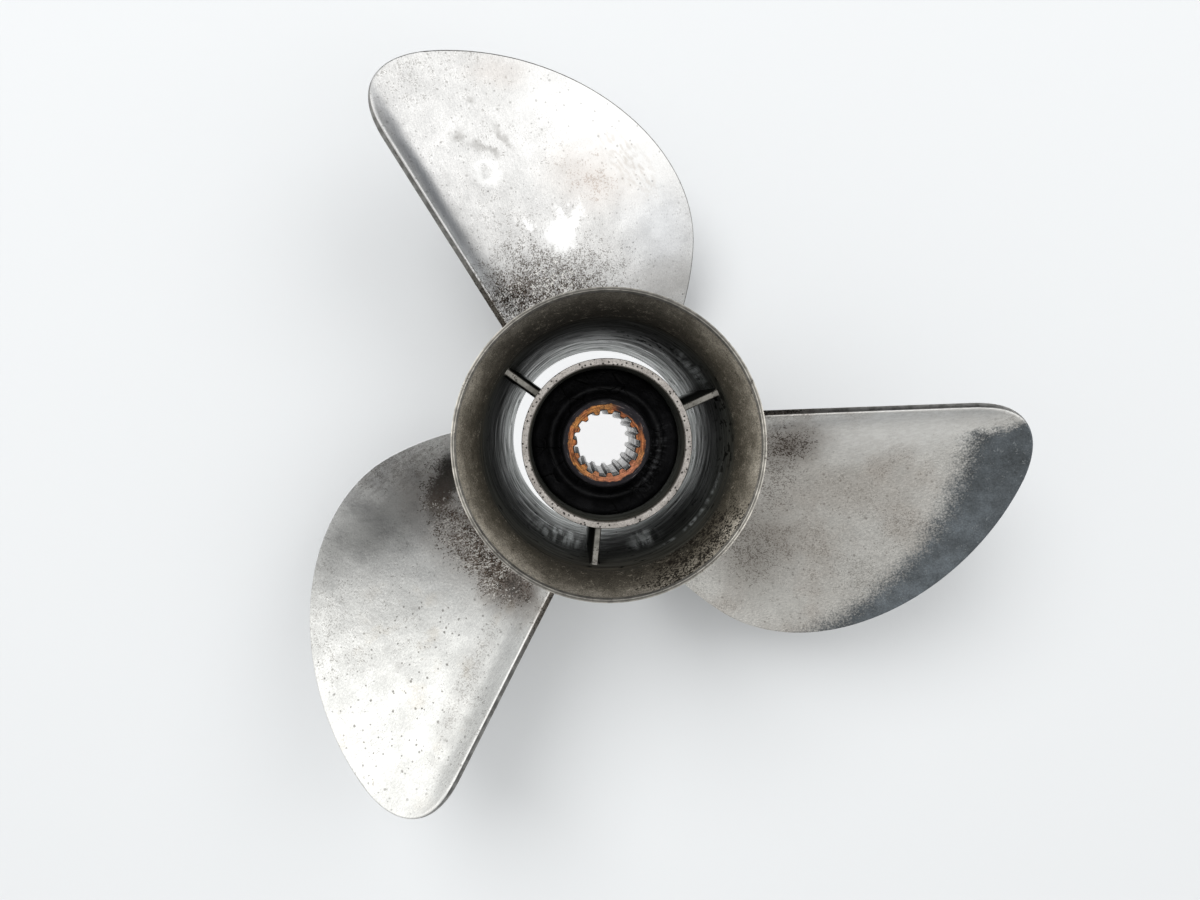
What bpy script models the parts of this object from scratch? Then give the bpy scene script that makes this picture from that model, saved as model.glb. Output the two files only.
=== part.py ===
"""Three-bladed propeller of an outboard motor, with its exhaust led out through the hub.

The propeller stands on its front rim. Z is the shaft's axis and points aft, to the flared end, and the
origin is the centre of the front rim. Blade 1 points along +Y. Seen from aft the blades drive ahead when
they turn clockwise. Units are metres.
"""

import math

import bmesh
import bpy
from mathutils import Vector
from mathutils.geometry import interpolate_bezier

# Space between pieces that touch each other on the real propeller
SEAM = 0.0003

# Outer hub: a barrel that ends aft in a flare
HUB_LENGTH = 0.117
FLARE_START = 0.097
RIM_RADIUS = 0.0576
RIM_WALL = 0.0014
BARREL_REAR_OUTER = 0.0530
BARREL_REAR_INNER = 0.0488
BARREL_FRONT_OUTER = 0.0490
BARREL_FRONT_INNER = 0.0421
HUB_SEGMENTS = 72

# Inner hub tube and its front shoulder
TUBE_OUTER = 0.0333
TUBE_INNER = 0.0303
TUBE_FRONT = 0.0040
TUBE_REAR = 0.09175
SHOULDER_INNER = 0.0240
SHOULDER_REAR = 0.0120
EDGE_CHAMFER = 0.0004

# Ribs between the inner hub and the barrel
RIB_ANGLES = (13.0, 133.0, 253.0)
RIB_FRONT = 0.0120
RIB_REAR = 0.0850
RIB_REAR_THICKNESS = 0.0026
RIB_FRONT_THICKNESS = 0.0038

# Rubber bush and splined sleeve
BUSH_REAR = 0.0710
BUSH_RIDGE_RADIUS = 0.0222
BUSH_RIDGE_RISE = 0.0030
SLEEVE_OUTER = 0.0172
SLEEVE_FRONT = 0.0100
SLEEVE_REAR = 0.0864
SPLINE_TEETH = 15
SPLINE_MAJOR = 0.0130
SPLINE_MINOR = 0.0115
SPLINE_GROOVE_SHARE = 0.26
SPLINE_LAND_SHARE = 0.46
SPLINE_PHASE = 11.6

# Blades: a helical face of constant pitch, raked aft
BLADE_ANGLES = (90.0, -30.0, 210.0)
PITCH = 0.275
RAKE = math.tan(math.radians(15.5))
FACE_HEIGHT = 0.048
FACE_RADIUS = 0.055
ROOT_THICKNESS = 0.0100
TIP_THICKNESS = 0.0022
TRAILING_THICKNESS = 0.0031
TRAILING_INSET = 0.0014
LEADING_THICKNESS = 0.0009
CUP_WIDTH = 0.0090
CUP_RISE = 0.0022

# Blade outline seen from aft: x runs out along the blade's own line, y towards the trailing edge.
# Each edge is a chain of Bezier arcs, given as start, two handles and end.
LEADING_EDGE = (
    ((0.0305, -0.0350), (0.0450, -0.0490), (0.0720, -0.0585), (0.0860, -0.0585)),
    ((0.0860, -0.0585), (0.1255, -0.0585), (0.1620, -0.0130), (0.1620, 0.0375)),
)
TRAILING_EDGE = (
    ((0.0360, 0.0252), (0.0677, 0.0371), (0.0993, 0.0491), (0.1310, 0.0610)),
    ((0.1310, 0.0610), (0.1515, 0.0687), (0.1620, 0.0580), (0.1620, 0.0375)),
)
SPAN_STEPS = (9, 11)
CHORD_STEPS = 14


def clear_scene():
    for old in list(bpy.data.objects):
        bpy.data.objects.remove(old, do_unlink=True)


def make_material(name, colour, roughness, metallic):
    material = bpy.data.materials.new(name)
    material.use_nodes = True
    shader = material.node_tree.nodes["Principled BSDF"]
    shader.inputs["Base Color"].default_value = (*colour, 1.0)
    shader.inputs["Roughness"].default_value = roughness
    shader.inputs["Metallic"].default_value = metallic
    return material


def make_object(name, shape, material, sharp_degrees=35.0):
    """Turns a bmesh into a smooth-shaded object, with its faces pointing out."""
    bmesh.ops.recalc_face_normals(shape, faces=shape.faces[:])
    mesh = bpy.data.meshes.new(name)
    shape.to_mesh(mesh)
    shape.free()
    mesh.shade_smooth()
    mesh.set_sharp_from_angle(angle=math.radians(sharp_degrees))
    mesh.materials.append(material)
    piece = bpy.data.objects.new(name, mesh)
    bpy.context.scene.collection.objects.link(piece)
    return piece


def polar(radius, degrees, height):
    angle = math.radians(degrees)
    return Vector((radius * math.cos(angle), radius * math.sin(angle), height))


def turned(outline, segments=HUB_SEGMENTS):
    """Spins a closed outline of (radius, height) points round the Z axis."""
    shape = bmesh.new()
    points = [shape.verts.new((radius, 0.0, height)) for radius, height in outline]
    edges = [shape.edges.new((a, b)) for a, b in zip(points, points[1:] + points[:1])]
    bmesh.ops.spin(
        shape,
        geom=points + edges,
        axis=(0.0, 0.0, 1.0),
        cent=(0.0, 0.0, 0.0),
        angle=math.tau,
        steps=segments,
        use_merge=True,
    )
    bmesh.ops.remove_doubles(shape, verts=shape.verts[:], dist=1e-6)
    return shape


def lofted(rings, closed_ends=True):
    """Bridges rings of equally many points, and caps the first and the last."""
    shape = bmesh.new()
    rows = [[shape.verts.new(point) for point in ring] for ring in rings]
    for lower, upper in zip(rows, rows[1:]):
        for i in range(len(lower)):
            j = (i + 1) % len(lower)
            shape.faces.new((lower[i], lower[j], upper[j], upper[i]))
    if closed_ends:
        shape.faces.new(rows[0])
        shape.faces.new(rows[-1])
    return shape


def eased(share):
    """0 to 1 with a level end at 1."""
    return 1.0 - (1.0 - share) ** 2


def barrel_outer(height):
    share = min(max(height / FLARE_START, 0.0), 1.0)
    return BARREL_FRONT_OUTER + (BARREL_REAR_OUTER - BARREL_FRONT_OUTER) * eased(share)


def barrel_inner(height):
    share = min(max(height / FLARE_START, 0.0), 1.0)
    return BARREL_FRONT_INNER + (BARREL_REAR_INNER - BARREL_FRONT_INNER) * eased(share)


def make_barrel(steel):
    steps = 6
    heights = [FLARE_START * i / steps for i in range(steps + 1)]
    outside = [(barrel_outer(height), height) for height in heights]
    inside = [(barrel_inner(height), height) for height in reversed(heights)]
    make_object("hub_barrel", turned(outside + inside), steel)


def make_flare(steel):
    """The rear end of the outer hub, which opens like a trumpet to its thin rim."""
    steps = 4
    start = FLARE_START + SEAM
    outside = []
    inside = []
    for i in range(steps + 1):
        share = i / steps
        height = start + (HUB_LENGTH - start) * share
        growth = 0.6 * share + 0.4 * share**2
        outside.append((BARREL_REAR_OUTER + (RIM_RADIUS - BARREL_REAR_OUTER) * growth, height))
        rim_inner = RIM_RADIUS - RIM_WALL
        inside.append((BARREL_REAR_INNER + (rim_inner - BARREL_REAR_INNER) * growth, height))
    make_object("exhaust_flare", turned(outside + inside[::-1]), steel)


def make_inner_hub(steel):
    """The tube that holds the rubber bush. A shoulder at its front end stops the bush."""
    outline = (
        (TUBE_OUTER, TUBE_FRONT),
        (TUBE_OUTER, TUBE_REAR - EDGE_CHAMFER),
        (TUBE_OUTER - EDGE_CHAMFER, TUBE_REAR),
        (TUBE_INNER + EDGE_CHAMFER, TUBE_REAR),
        (TUBE_INNER, TUBE_REAR - EDGE_CHAMFER),
        (TUBE_INNER, SHOULDER_REAR),
        (SHOULDER_INNER, SHOULDER_REAR),
        (SHOULDER_INNER, TUBE_FRONT),
    )
    make_object("inner_hub_tube", turned(outline), steel)


def make_rib(name, degrees, steel):
    """A plate that thickens towards the front, with a rounded rear edge."""
    edge_radius = RIB_REAR_THICKNESS / 2
    sizes = [(RIB_FRONT, RIB_FRONT_THICKNESS / 2)]
    for share in (0.33, 0.66, 1.0):
        height = RIB_FRONT + (RIB_REAR - edge_radius - RIB_FRONT) * share
        half = RIB_FRONT_THICKNESS / 2 + (edge_radius - RIB_FRONT_THICKNESS / 2) * share
        sizes.append((height, half))
    for turn in (30.0, 60.0, 80.0):
        angle = math.radians(turn)
        rise = edge_radius * math.sin(angle)
        sizes.append((RIB_REAR - edge_radius + rise, edge_radius * math.cos(angle)))
    rings = []
    for height, half in sizes:
        outer = barrel_inner(height) - SEAM
        inner = TUBE_OUTER + SEAM
        corners = ((inner, -half), (outer, -half), (outer, half), (inner, half))
        rings.append([Vector((x, y, height)) for x, y in corners])
    rib = make_object(name, lofted(rings), steel)
    rib.rotation_euler.z = math.radians(degrees)


def make_bush(rubber):
    """Rubber between the inner hub and the sleeve, with a raised ring on its rear face."""
    outer = TUBE_INNER - SEAM
    inner = SLEEVE_OUTER + SEAM
    ridge = BUSH_REAR + BUSH_RIDGE_RISE
    outline = (
        (outer, SHOULDER_REAR + SEAM),
        (outer, BUSH_REAR - 0.0010),
        (outer - 0.0010, BUSH_REAR),
        (BUSH_RIDGE_RADIUS + 0.0032, BUSH_REAR),
        (BUSH_RIDGE_RADIUS + 0.0014, ridge - 0.0004),
        (BUSH_RIDGE_RADIUS, ridge),
        (BUSH_RIDGE_RADIUS - 0.0014, ridge - 0.0006),
        (BUSH_RIDGE_RADIUS - 0.0026, BUSH_REAR),
        (inner + 0.0009, BUSH_REAR + 0.0010),
        (inner + 0.0004, BUSH_REAR + 0.0060),
        (inner, BUSH_REAR + 0.0070),
        (inner, SHOULDER_REAR + SEAM),
    )
    make_object("rubber_bush", turned(outline), rubber)


def spline_ring(height):
    """The toothed bore's outline at a height: groove floor, then tooth land, round the circle."""
    pitch = 360.0 / SPLINE_TEETH
    groove = pitch * SPLINE_GROOVE_SHARE / 2
    land = pitch * (1.0 - SPLINE_LAND_SHARE) / 2
    points = []
    for tooth in range(SPLINE_TEETH):
        centre = SPLINE_PHASE + tooth * pitch
        points.append(polar(SPLINE_MINOR, centre - land, height))
        points.append(polar(SPLINE_MAJOR, centre - groove, height))
        points.append(polar(SPLINE_MAJOR, centre + groove, height))
        points.append(polar(SPLINE_MINOR, centre + land, height))
    return points


def outer_ring(height, radius):
    """As many points as spline_ring, on a circle."""
    count = 4 * SPLINE_TEETH
    step = 360.0 / count
    first = SPLINE_PHASE - 1.5 * step
    return [polar(radius, first + i * step, height) for i in range(count)]


def make_sleeve(bronze):
    """The sleeve that slides on the shaft, with straight teeth along its bore."""
    chamfer = 2 * EDGE_CHAMFER
    rings = [
        spline_ring(SLEEVE_FRONT),
        outer_ring(SLEEVE_FRONT, SLEEVE_OUTER - chamfer),
        outer_ring(SLEEVE_FRONT + chamfer, SLEEVE_OUTER),
        outer_ring(SLEEVE_REAR - chamfer, SLEEVE_OUTER),
        outer_ring(SLEEVE_REAR, SLEEVE_OUTER - chamfer),
        spline_ring(SLEEVE_REAR),
    ]
    shape = lofted(rings + rings[:1], closed_ends=False)
    bmesh.ops.remove_doubles(shape, verts=shape.verts[:], dist=1e-6)
    make_object("splined_sleeve", shape, bronze)


def edge_points(arcs):
    """Points along a chain of Bezier arcs, evenly spaced within each arc."""
    points = []
    for arc, steps in zip(arcs, SPAN_STEPS):
        corners = [Vector((x, y, 0.0)) for x, y in arc]
        points += interpolate_bezier(*corners, steps + 1)[bool(points):]
    return [(math.hypot(point.x, point.y), math.atan2(point.y, point.x)) for point in points]


def face_height(radius, angle):
    """Height of the blade's helical face at a place seen from aft."""
    return FACE_HEIGHT + PITCH * angle / math.tau + RAKE * (radius - FACE_RADIUS)


def face_point(radius, angle):
    return Vector((radius * math.cos(angle), radius * math.sin(angle), face_height(radius, angle)))


def section_ring(lead, trail, span):
    """One section from the leading to the trailing edge and back, as a closed ring of points.

    The aft face is the helical face, curled aft by the cup near the trailing edge. The fore face lies the
    blade's thickness behind it, square to the curled face, so the blunt trailing edge tilts aft with it.
    """
    full = ROOT_THICKNESS + (TIP_THICKNESS - ROOT_THICKNESS) * span**0.7
    outboard = min(1.0, 2.2 * (1.0 - span))
    blunt = LEADING_THICKNESS + (TRAILING_THICKNESS - LEADING_THICKNESS) * outboard
    trail_angle = trail[1] - TRAILING_INSET * outboard / trail[0]
    chord = (trail_angle - lead[1]) * trail[0]
    aft_side = []
    fore_side = []
    for i in range(CHORD_STEPS + 1):
        share = 0.5 - 0.5 * math.cos(math.pi * i / CHORD_STEPS)
        radius = lead[0] + (trail[0] - lead[0]) * share
        angle = lead[1] + (trail_angle - lead[1]) * share
        place = face_point(radius, angle)
        towards_trail = (face_point(radius, angle + 0.01) - place).normalized()
        outward = face_point(radius + 0.001, angle) - place
        normal = outward.cross(towards_trail).normalized()
        curl = max(0.0, 1.0 - chord * (1.0 - share) / CUP_WIDTH) * outboard
        cup = CUP_RISE * curl**2
        slope = 2.0 * CUP_RISE / CUP_WIDTH * curl
        square = (normal - towards_trail * slope).normalized()
        edge = LEADING_THICKNESS + (blunt - LEADING_THICKNESS) * share
        swell = max(0.0, full - edge) * (1.0 - abs(2.0 * share**0.85 - 1.0) ** 2.2)
        aft_side.append(place + normal * cup)
        fore_side.append(place + normal * cup - square * (edge + swell))
    return aft_side + fore_side[::-1]


def blade_shape():
    """A solid blade that runs on into the hub, along +X."""
    leading = edge_points(LEADING_EDGE)
    trailing = edge_points(TRAILING_EDGE)
    last = len(leading) - 1
    spans = [(leading[i][0] - leading[0][0]) / (leading[last][0] - leading[0][0]) for i in range(last)]
    rings = [section_ring(leading[i], trailing[i], spans[i]) for i in range(last)]
    # The last section stops just short of the point where the two edges meet.
    tip_lead = [leading[last - 1][k] * 0.15 + leading[last][k] * 0.85 for k in (0, 1)]
    tip_trail = [trailing[last - 1][k] * 0.15 + trailing[last][k] * 0.85 for k in (0, 1)]
    rings.append(section_ring(tip_lead, tip_trail, 1.0))
    return lofted(rings)


def make_hub_cutter():
    """A solid of the outer hub's shape, one seam larger, that trims the blades' roots."""
    steps = 6
    outline = [(0.0, -0.020)]
    outline.append((barrel_outer(0.0) + SEAM, -0.020))
    for i in range(steps + 1):
        height = FLARE_START * i / steps
        outline.append((barrel_outer(height) + SEAM, height))
    outline.append((barrel_outer(FLARE_START) + SEAM, 0.150))
    outline.append((0.0, 0.150))
    cutter = make_object("hub_cutter", turned(outline), bpy.data.materials["steel"])
    cutter.display_type = "WIRE"
    cutter.hide_render = True
    return cutter


def make_blade(name, degrees, cutter, steel):
    blade = make_object(name, blade_shape(), steel, sharp_degrees=50.0)
    blade.rotation_euler.z = math.radians(degrees)
    trim = blade.modifiers.new("trim_to_hub", "BOOLEAN")
    trim.operation = "DIFFERENCE"
    trim.solver = "EXACT"
    trim.object = cutter


def main():
    clear_scene()
    steel = make_material("steel", (0.60, 0.59, 0.57), 0.35, 1.0)
    rubber = make_material("rubber", (0.02, 0.02, 0.02), 0.55, 0.0)
    bronze = make_material("bronze", (0.72, 0.42, 0.22), 0.35, 1.0)
    make_barrel(steel)
    make_flare(steel)
    make_inner_hub(steel)
    for number, degrees in enumerate(RIB_ANGLES, start=1):
        make_rib(f"rib_{number}", degrees, steel)
    make_bush(rubber)
    make_sleeve(bronze)
    cutter = make_hub_cutter()
    for number, degrees in enumerate(BLADE_ANGLES, start=1):
        make_blade(f"blade_{number}", degrees, cutter, steel)


main()
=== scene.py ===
# %% [markdown]
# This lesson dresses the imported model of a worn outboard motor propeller, which stands on its front rim on a
# pale table and is seen from aft. The frame holds the rigid solids that the physics uses. Everything that
# shows is modelled again here, finer, in the same places and with the same sizes.

# %% Load the frame
import math

import bmesh
import bpy
from mathutils import Matrix, Vector
from mathutils.geometry import interpolate_bezier


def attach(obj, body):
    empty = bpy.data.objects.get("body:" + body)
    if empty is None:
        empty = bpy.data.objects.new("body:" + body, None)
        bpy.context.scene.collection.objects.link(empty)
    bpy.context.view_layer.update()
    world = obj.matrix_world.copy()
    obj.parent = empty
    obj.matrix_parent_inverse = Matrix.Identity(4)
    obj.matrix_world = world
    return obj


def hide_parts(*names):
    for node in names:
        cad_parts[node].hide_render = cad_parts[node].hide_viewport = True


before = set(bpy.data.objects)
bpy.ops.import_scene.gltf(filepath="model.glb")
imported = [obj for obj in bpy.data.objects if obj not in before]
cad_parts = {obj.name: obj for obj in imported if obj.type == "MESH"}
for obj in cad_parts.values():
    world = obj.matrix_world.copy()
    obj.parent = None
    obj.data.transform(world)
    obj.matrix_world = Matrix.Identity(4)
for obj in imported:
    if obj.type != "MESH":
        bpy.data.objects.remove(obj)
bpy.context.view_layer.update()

print("CAD nodes:", len(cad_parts))

# %% [markdown]
# The sizes are those of the solids, in metres. Z is the shaft's axis and points aft, the origin is the centre
# of the front rim, and blade 1 points along +Y. Keeping the sizes in one place means that a fine piece lands
# exactly where its solid is.

# %% Sizes of the hub
HUB_LENGTH = 0.117
FLARE_START = 0.097
RIM_RADIUS = 0.0576
RIM_WALL = 0.0014
BARREL_REAR_OUTER = 0.0530
BARREL_REAR_INNER = 0.0488
BARREL_FRONT_OUTER = 0.0490
BARREL_FRONT_INNER = 0.0421
TUBE_OUTER = 0.0333
TUBE_INNER = 0.0303
TUBE_FRONT = 0.0040
TUBE_REAR = 0.09175
SHOULDER_INNER = 0.0240
SHOULDER_REAR = 0.0120
print("Hub length and rim diameter in mm:", 1000 * HUB_LENGTH, 2000 * RIM_RADIUS)

# %% Sizes of the ribs, the bush and the sleeve
RIB_ANGLES = (13.0, 133.0, 253.0)
RIB_FRONT = 0.0120
RIB_REAR = 0.0850
RIB_REAR_THICKNESS = 0.0026
RIB_FRONT_THICKNESS = 0.0054
BUSH_REAR = 0.0710
BUSH_RIDGE_RADIUS = 0.0222
BUSH_RIDGE_RISE = 0.0030
SLEEVE_OUTER = 0.0172
SLEEVE_FRONT = 0.0100
SLEEVE_REAR = 0.0864
SPLINE_TEETH = 15
SPLINE_MAJOR = 0.0130
SPLINE_MINOR = 0.0115
SPLINE_PHASE = 11.6
print("Spline teeth:", SPLINE_TEETH)

# %% Sizes of the blades
BLADE_ANGLES = (90.0, -30.0, 210.0)
PITCH = 0.275
RAKE = math.tan(math.radians(15.5))
FACE_HEIGHT = 0.048
FACE_RADIUS = 0.055
ROOT_THICKNESS = 0.0100
TIP_THICKNESS = 0.0022
TRAILING_THICKNESS = 0.0031
TRAILING_INSET = 0.0014
LEADING_THICKNESS = 0.0009
CUP_WIDTH = 0.0090
CUP_RISE = 0.0022
LEADING_EDGE = (
    ((0.0305, -0.0350), (0.0450, -0.0490), (0.0720, -0.0585), (0.0860, -0.0585)),
    ((0.0860, -0.0585), (0.1255, -0.0585), (0.1620, -0.0130), (0.1620, 0.0375)),
)
TRAILING_EDGE = (
    ((0.0360, 0.0252), (0.0677, 0.0371), (0.0993, 0.0491), (0.1310, 0.0610)),
    ((0.1310, 0.0610), (0.1515, 0.0687), (0.1620, 0.0580), (0.1620, 0.0375)),
)
print("Tip radius in mm:", round(1000 * math.hypot(*LEADING_EDGE[-1][-1]), 1))

# %% [markdown]
# The camera comes first, so that each piece can be looked at as soon as it exists. It hangs nearly straight
# above the hub, as the photographer's phone did. Its three directions are written as a rotation matrix,
# because a matrix says exactly which way is right, up and back.

# %% The camera
LENS_MM = 28.62
CAMERA_PLACE = Vector((-0.0106, 0.0139, 0.4630))
PHOTO_RIGHT = Vector((0.97980, -0.19804, 0.02798))
PHOTO_UP = Vector((0.19900, 0.97928, -0.03759))
PHOTO_BACK = PHOTO_RIGHT.cross(PHOTO_UP).normalized()
lens = bpy.data.cameras.new("photo_camera")
lens.lens = LENS_MM
lens.sensor_width = 36.0
lens.clip_start = 0.01
camera = bpy.data.objects.new("photo_camera", lens)
bpy.context.scene.collection.objects.link(camera)
turn = Matrix((PHOTO_RIGHT, PHOTO_UP, PHOTO_BACK)).transposed().to_4x4()
camera.matrix_world = Matrix.Translation(CAMERA_PLACE) @ turn
bpy.context.scene.camera = camera
print("Camera height above the table in mm:", round(1000 * CAMERA_PLACE.z))

# %% [markdown]
# Every operator acts on whatever is selected, so a step starts with nothing selected. These small helpers
# clear the selection, name a new primitive, and give a material slot to the faces that pass a test.

# %% Helpers for selecting
def clear_selection():
    if bpy.context.object and bpy.context.object.mode != "OBJECT":
        bpy.ops.object.mode_set(mode="OBJECT")
    bpy.ops.object.select_all(action="DESELECT")


def named(name):
    piece = bpy.context.object
    piece.name = name
    piece.data.name = name
    return piece


def work_on(piece):
    clear_selection()
    piece.select_set(True)
    bpy.context.view_layer.objects.active = piece


def give_faces(piece, slot, test):
    """Gives a material slot to the faces that pass the test, and counts them. An extruded piece also has
    a layer with the numbers of its points, which the test gets after the face."""
    work_on(piece)
    bpy.ops.object.mode_set(mode="EDIT")
    bpy.ops.mesh.select_mode(type="FACE")
    bpy.ops.mesh.select_all(action="DESELECT")
    shape = bmesh.from_edit_mesh(piece.data)
    number = shape.verts.layers.int.get("number")
    for face in shape.faces:
        face.select_set(test(face, number))
    bmesh.update_edit_mesh(piece.data)
    count = sum(face.select for face in shape.faces)
    piece.active_material_index = slot
    bpy.ops.object.material_slot_assign()
    bpy.ops.object.mode_set(mode="OBJECT")
    return count


# %% Helpers for finishing
def soften_edges(piece, width, segments=2, degrees=30.0):
    """Rounds the edges sharper than the angle, because every real edge catches a line of light."""
    work_on(piece)
    bpy.ops.object.modifier_add(type="BEVEL")
    bevel = piece.modifiers[-1]
    bevel.width = width
    bevel.segments = segments
    bevel.limit_method = "ANGLE"
    bevel.angle_limit = math.radians(degrees)
    bpy.ops.object.modifier_apply(modifier=bevel.name)


def smooth(piece, degrees=35.0):
    work_on(piece)
    bpy.ops.object.shade_smooth_by_angle(angle=math.radians(degrees))


def stand_for(piece, slot, *nodes):
    """The piece rides on the one body and shows instead of its CAD nodes. The slot argument is not used."""
    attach(piece, "root")
    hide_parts(*nodes)
    triangles = sum(len(face.vertices) - 2 for face in piece.data.polygons)
    print(piece.name, "stands for", ", ".join(nodes), "with", triangles, "triangles")


# %% [markdown]
# Most of a hub is turned work. A turned piece is drawn here as its outline in the XZ plane: one point is
# extruded from corner to corner, and the closed outline is then spun once round the shaft's axis. That gives
# every groove and lip its real size, which a cylinder primitive would not.

# %% A helper that turns an outline
def turned(name, outline, steps):
    """Spins a closed outline of (radius, height) points round the Z axis."""
    clear_selection()
    first = outline[0]
    bpy.ops.mesh.primitive_plane_add(size=0.001, location=(first[0], 0.0, first[1]))
    piece = named(name)
    bpy.ops.object.transform_apply(location=True)
    bpy.ops.object.mode_set(mode="EDIT")
    bpy.ops.mesh.merge(type="CENTER")
    for here, there in zip(outline, outline[1:] + outline[:1]):
        step = (there[0] - here[0], 0.0, there[1] - here[1])
        bpy.ops.mesh.extrude_vertices_move(TRANSFORM_OT_translate={"value": step})
    bpy.ops.mesh.select_all(action="SELECT")
    bpy.ops.mesh.spin(steps=steps, angle=math.tau, center=(0.0, 0.0, 0.0), axis=(0.0, 0.0, 1.0))
    bpy.ops.mesh.select_all(action="SELECT")
    bpy.ops.mesh.remove_doubles(threshold=0.000002)
    bpy.ops.mesh.normals_make_consistent(inside=False)
    bpy.ops.object.mode_set(mode="OBJECT")
    return piece


# %% [markdown]
# The outer hub is a barrel that opens aft into a flare with a thin rim. On the real propeller they are one
# casting, so one piece stands for both solids. The rim has a second small step inside it, left by the lathe.

# %% The hub's curves
def eased(share):
    return 1.0 - (1.0 - share) ** 2


def barrel_outer(height):
    share = min(max(height / FLARE_START, 0.0), 1.0)
    return BARREL_FRONT_OUTER + (BARREL_REAR_OUTER - BARREL_FRONT_OUTER) * eased(share)


def barrel_inner(height):
    share = min(max(height / FLARE_START, 0.0), 1.0)
    return BARREL_FRONT_INNER + (BARREL_REAR_INNER - BARREL_FRONT_INNER) * eased(share)


def flare_growth(height):
    share = (height - FLARE_START) / (HUB_LENGTH - FLARE_START)
    return 0.6 * share + 0.4 * share**2


def flare_outer(height):
    return BARREL_REAR_OUTER + (RIM_RADIUS - BARREL_REAR_OUTER) * flare_growth(height)


def flare_inner(height):
    return BARREL_REAR_INNER + (RIM_RADIUS - RIM_WALL - BARREL_REAR_INNER) * flare_growth(height)


bore_ends = [2000 * barrel_inner(height) for height in (0.0, FLARE_START)]
print("Barrel bore at the front and at the flare in mm:", *bore_ends)

# %% The outer hub
LIP_DEPTH = 0.0010
LIP_STEP = ((-0.00130, 0.0), (-0.00142, -0.00035), (-0.00190, -0.00060))
HUB_SPIN = 192
SPIN = 144


def heights(start, end, steps):
    return [start + (end - start) * i / steps for i in range(steps + 1)]


def beside(radius, height, offsets):
    """Points of an outline, each given by how far outward and aft it is from one place."""
    return [(radius + outward, height + aft) for outward, aft in offsets]


barrel_heights = heights(0.0, FLARE_START, 14)
flare_heights = heights(FLARE_START, HUB_LENGTH, 8)[1:]
outside = [(barrel_outer(height), height) for height in barrel_heights]
outside += [(flare_outer(height), height) for height in flare_heights]
lip = beside(RIM_RADIUS, HUB_LENGTH, LIP_STEP)
inside = [(flare_inner(height), height) for height in flare_heights[:-1]]
inside.append((flare_inner(HUB_LENGTH - LIP_DEPTH), HUB_LENGTH - LIP_DEPTH))
inside = [(barrel_inner(height), height) for height in barrel_heights] + inside
outer_hub = turned("outer_hub", outside + lip + inside[::-1], HUB_SPIN)
soften_edges(outer_hub, 0.00018)
smooth(outer_hub)
print("Outer hub faces:", len(outer_hub.data.polygons))

# %% [markdown]
# The inner hub is a plain tube with a sawn and ground end face, and a shoulder at its front that stops the
# rubber bush. It is turned in the same way.

# %% The inner hub
tube_heights = heights(TUBE_FRONT, TUBE_REAR, 10)
tube_outline = [(TUBE_OUTER, height) for height in tube_heights]
tube_outline += [(TUBE_INNER, height) for height in reversed(tube_heights[1:])]
tube_outline += [(TUBE_INNER, SHOULDER_REAR), (SHOULDER_INNER, SHOULDER_REAR), (SHOULDER_INNER, TUBE_FRONT)]
inner_hub = turned("inner_hub", tube_outline, SPIN)
soften_edges(inner_hub, 0.00032, segments=3)
smooth(inner_hub)
print("Inner hub faces:", len(inner_hub.data.polygons))

# %% [markdown]
# Ribs and blades are cast shapes that change all along their length. Each starts as a strip of faces, a grid
# with two long sides, which is extruded again and again and put in its place each time. A point carries its
# number along the sides in a layer of the mesh, so after each extrusion it still knows its next place.

# %% A helper that extrudes a strip through places
def extruded_through(name, sections):
    """Each section is two sides of as many points, such as the aft and the fore side of a blade."""
    count = len(sections[0][0])
    clear_selection()
    bpy.ops.mesh.primitive_grid_add(x_subdivisions=count - 1, y_subdivisions=1, size=1.0)
    piece = named(name)
    bpy.ops.object.mode_set(mode="EDIT")
    shape = bmesh.from_edit_mesh(piece.data)
    number = shape.verts.layers.int.new("number")
    for vertex in shape.verts:
        along = round((vertex.co.x + 0.5) * (count - 1))
        vertex[number] = along + (count if vertex.co.y > 0.0 else 0)
    highest = max(vertex[number] for vertex in shape.verts)
    print(name, "starts with", len(shape.faces), "faces and numbers up to", highest)
    for row, (first_side, second_side) in enumerate(sections):
        if row:
            bpy.ops.mesh.extrude_region_move()
            shape = bmesh.from_edit_mesh(piece.data)
            number = shape.verts.layers.int["number"]
        wanted = list(first_side) + list(second_side)
        for vertex in shape.verts:
            if vertex.select:
                vertex.co = wanted[vertex[number]]
        bmesh.update_edit_mesh(piece.data)
    bpy.ops.mesh.select_all(action="SELECT")
    bpy.ops.mesh.normals_make_consistent(inside=False)
    bpy.ops.object.mode_set(mode="OBJECT")
    return piece


def turned_copy(piece, name, degrees):
    """A copy with its own mesh, turned round the shaft's axis, with the turn put into the mesh."""
    work_on(piece)
    bpy.ops.object.duplicate()
    copy = named(name)
    copy.rotation_euler.z = math.radians(degrees)
    bpy.ops.object.transform_apply(rotation=True)
    return copy


# %% [markdown]
# Three ribs hold the inner hub in the barrel. A rib thickens towards the front, so that it came out of its
# mould, its rear edge is blunt, and it runs out into both walls in a hollow fillet. Seen from aft, its two
# sides are straight in the middle and widen at both ends.

# %% One rib
RIB_FILLET = 0.0018
FILLET_TURNS = (0.0, 20.0, 40.0, 60.0, 80.0)
INTO_TUBE = 0.0003
INTO_BARREL = 0.0004


def rib_side(inner, outer, half):
    """One long side of the section, from the tube to the barrel."""
    turns = [math.radians(turn) for turn in FILLET_TURNS]
    hollow = [(RIB_FILLET * (1 - math.cos(turn)), half + RIB_FILLET * (1 - math.sin(turn))) for turn in turns]
    near = [(inner + outward, width) for outward, width in hollow]
    far = [(outer - outward, width) for outward, width in hollow]
    return near + far[::-1]


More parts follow.
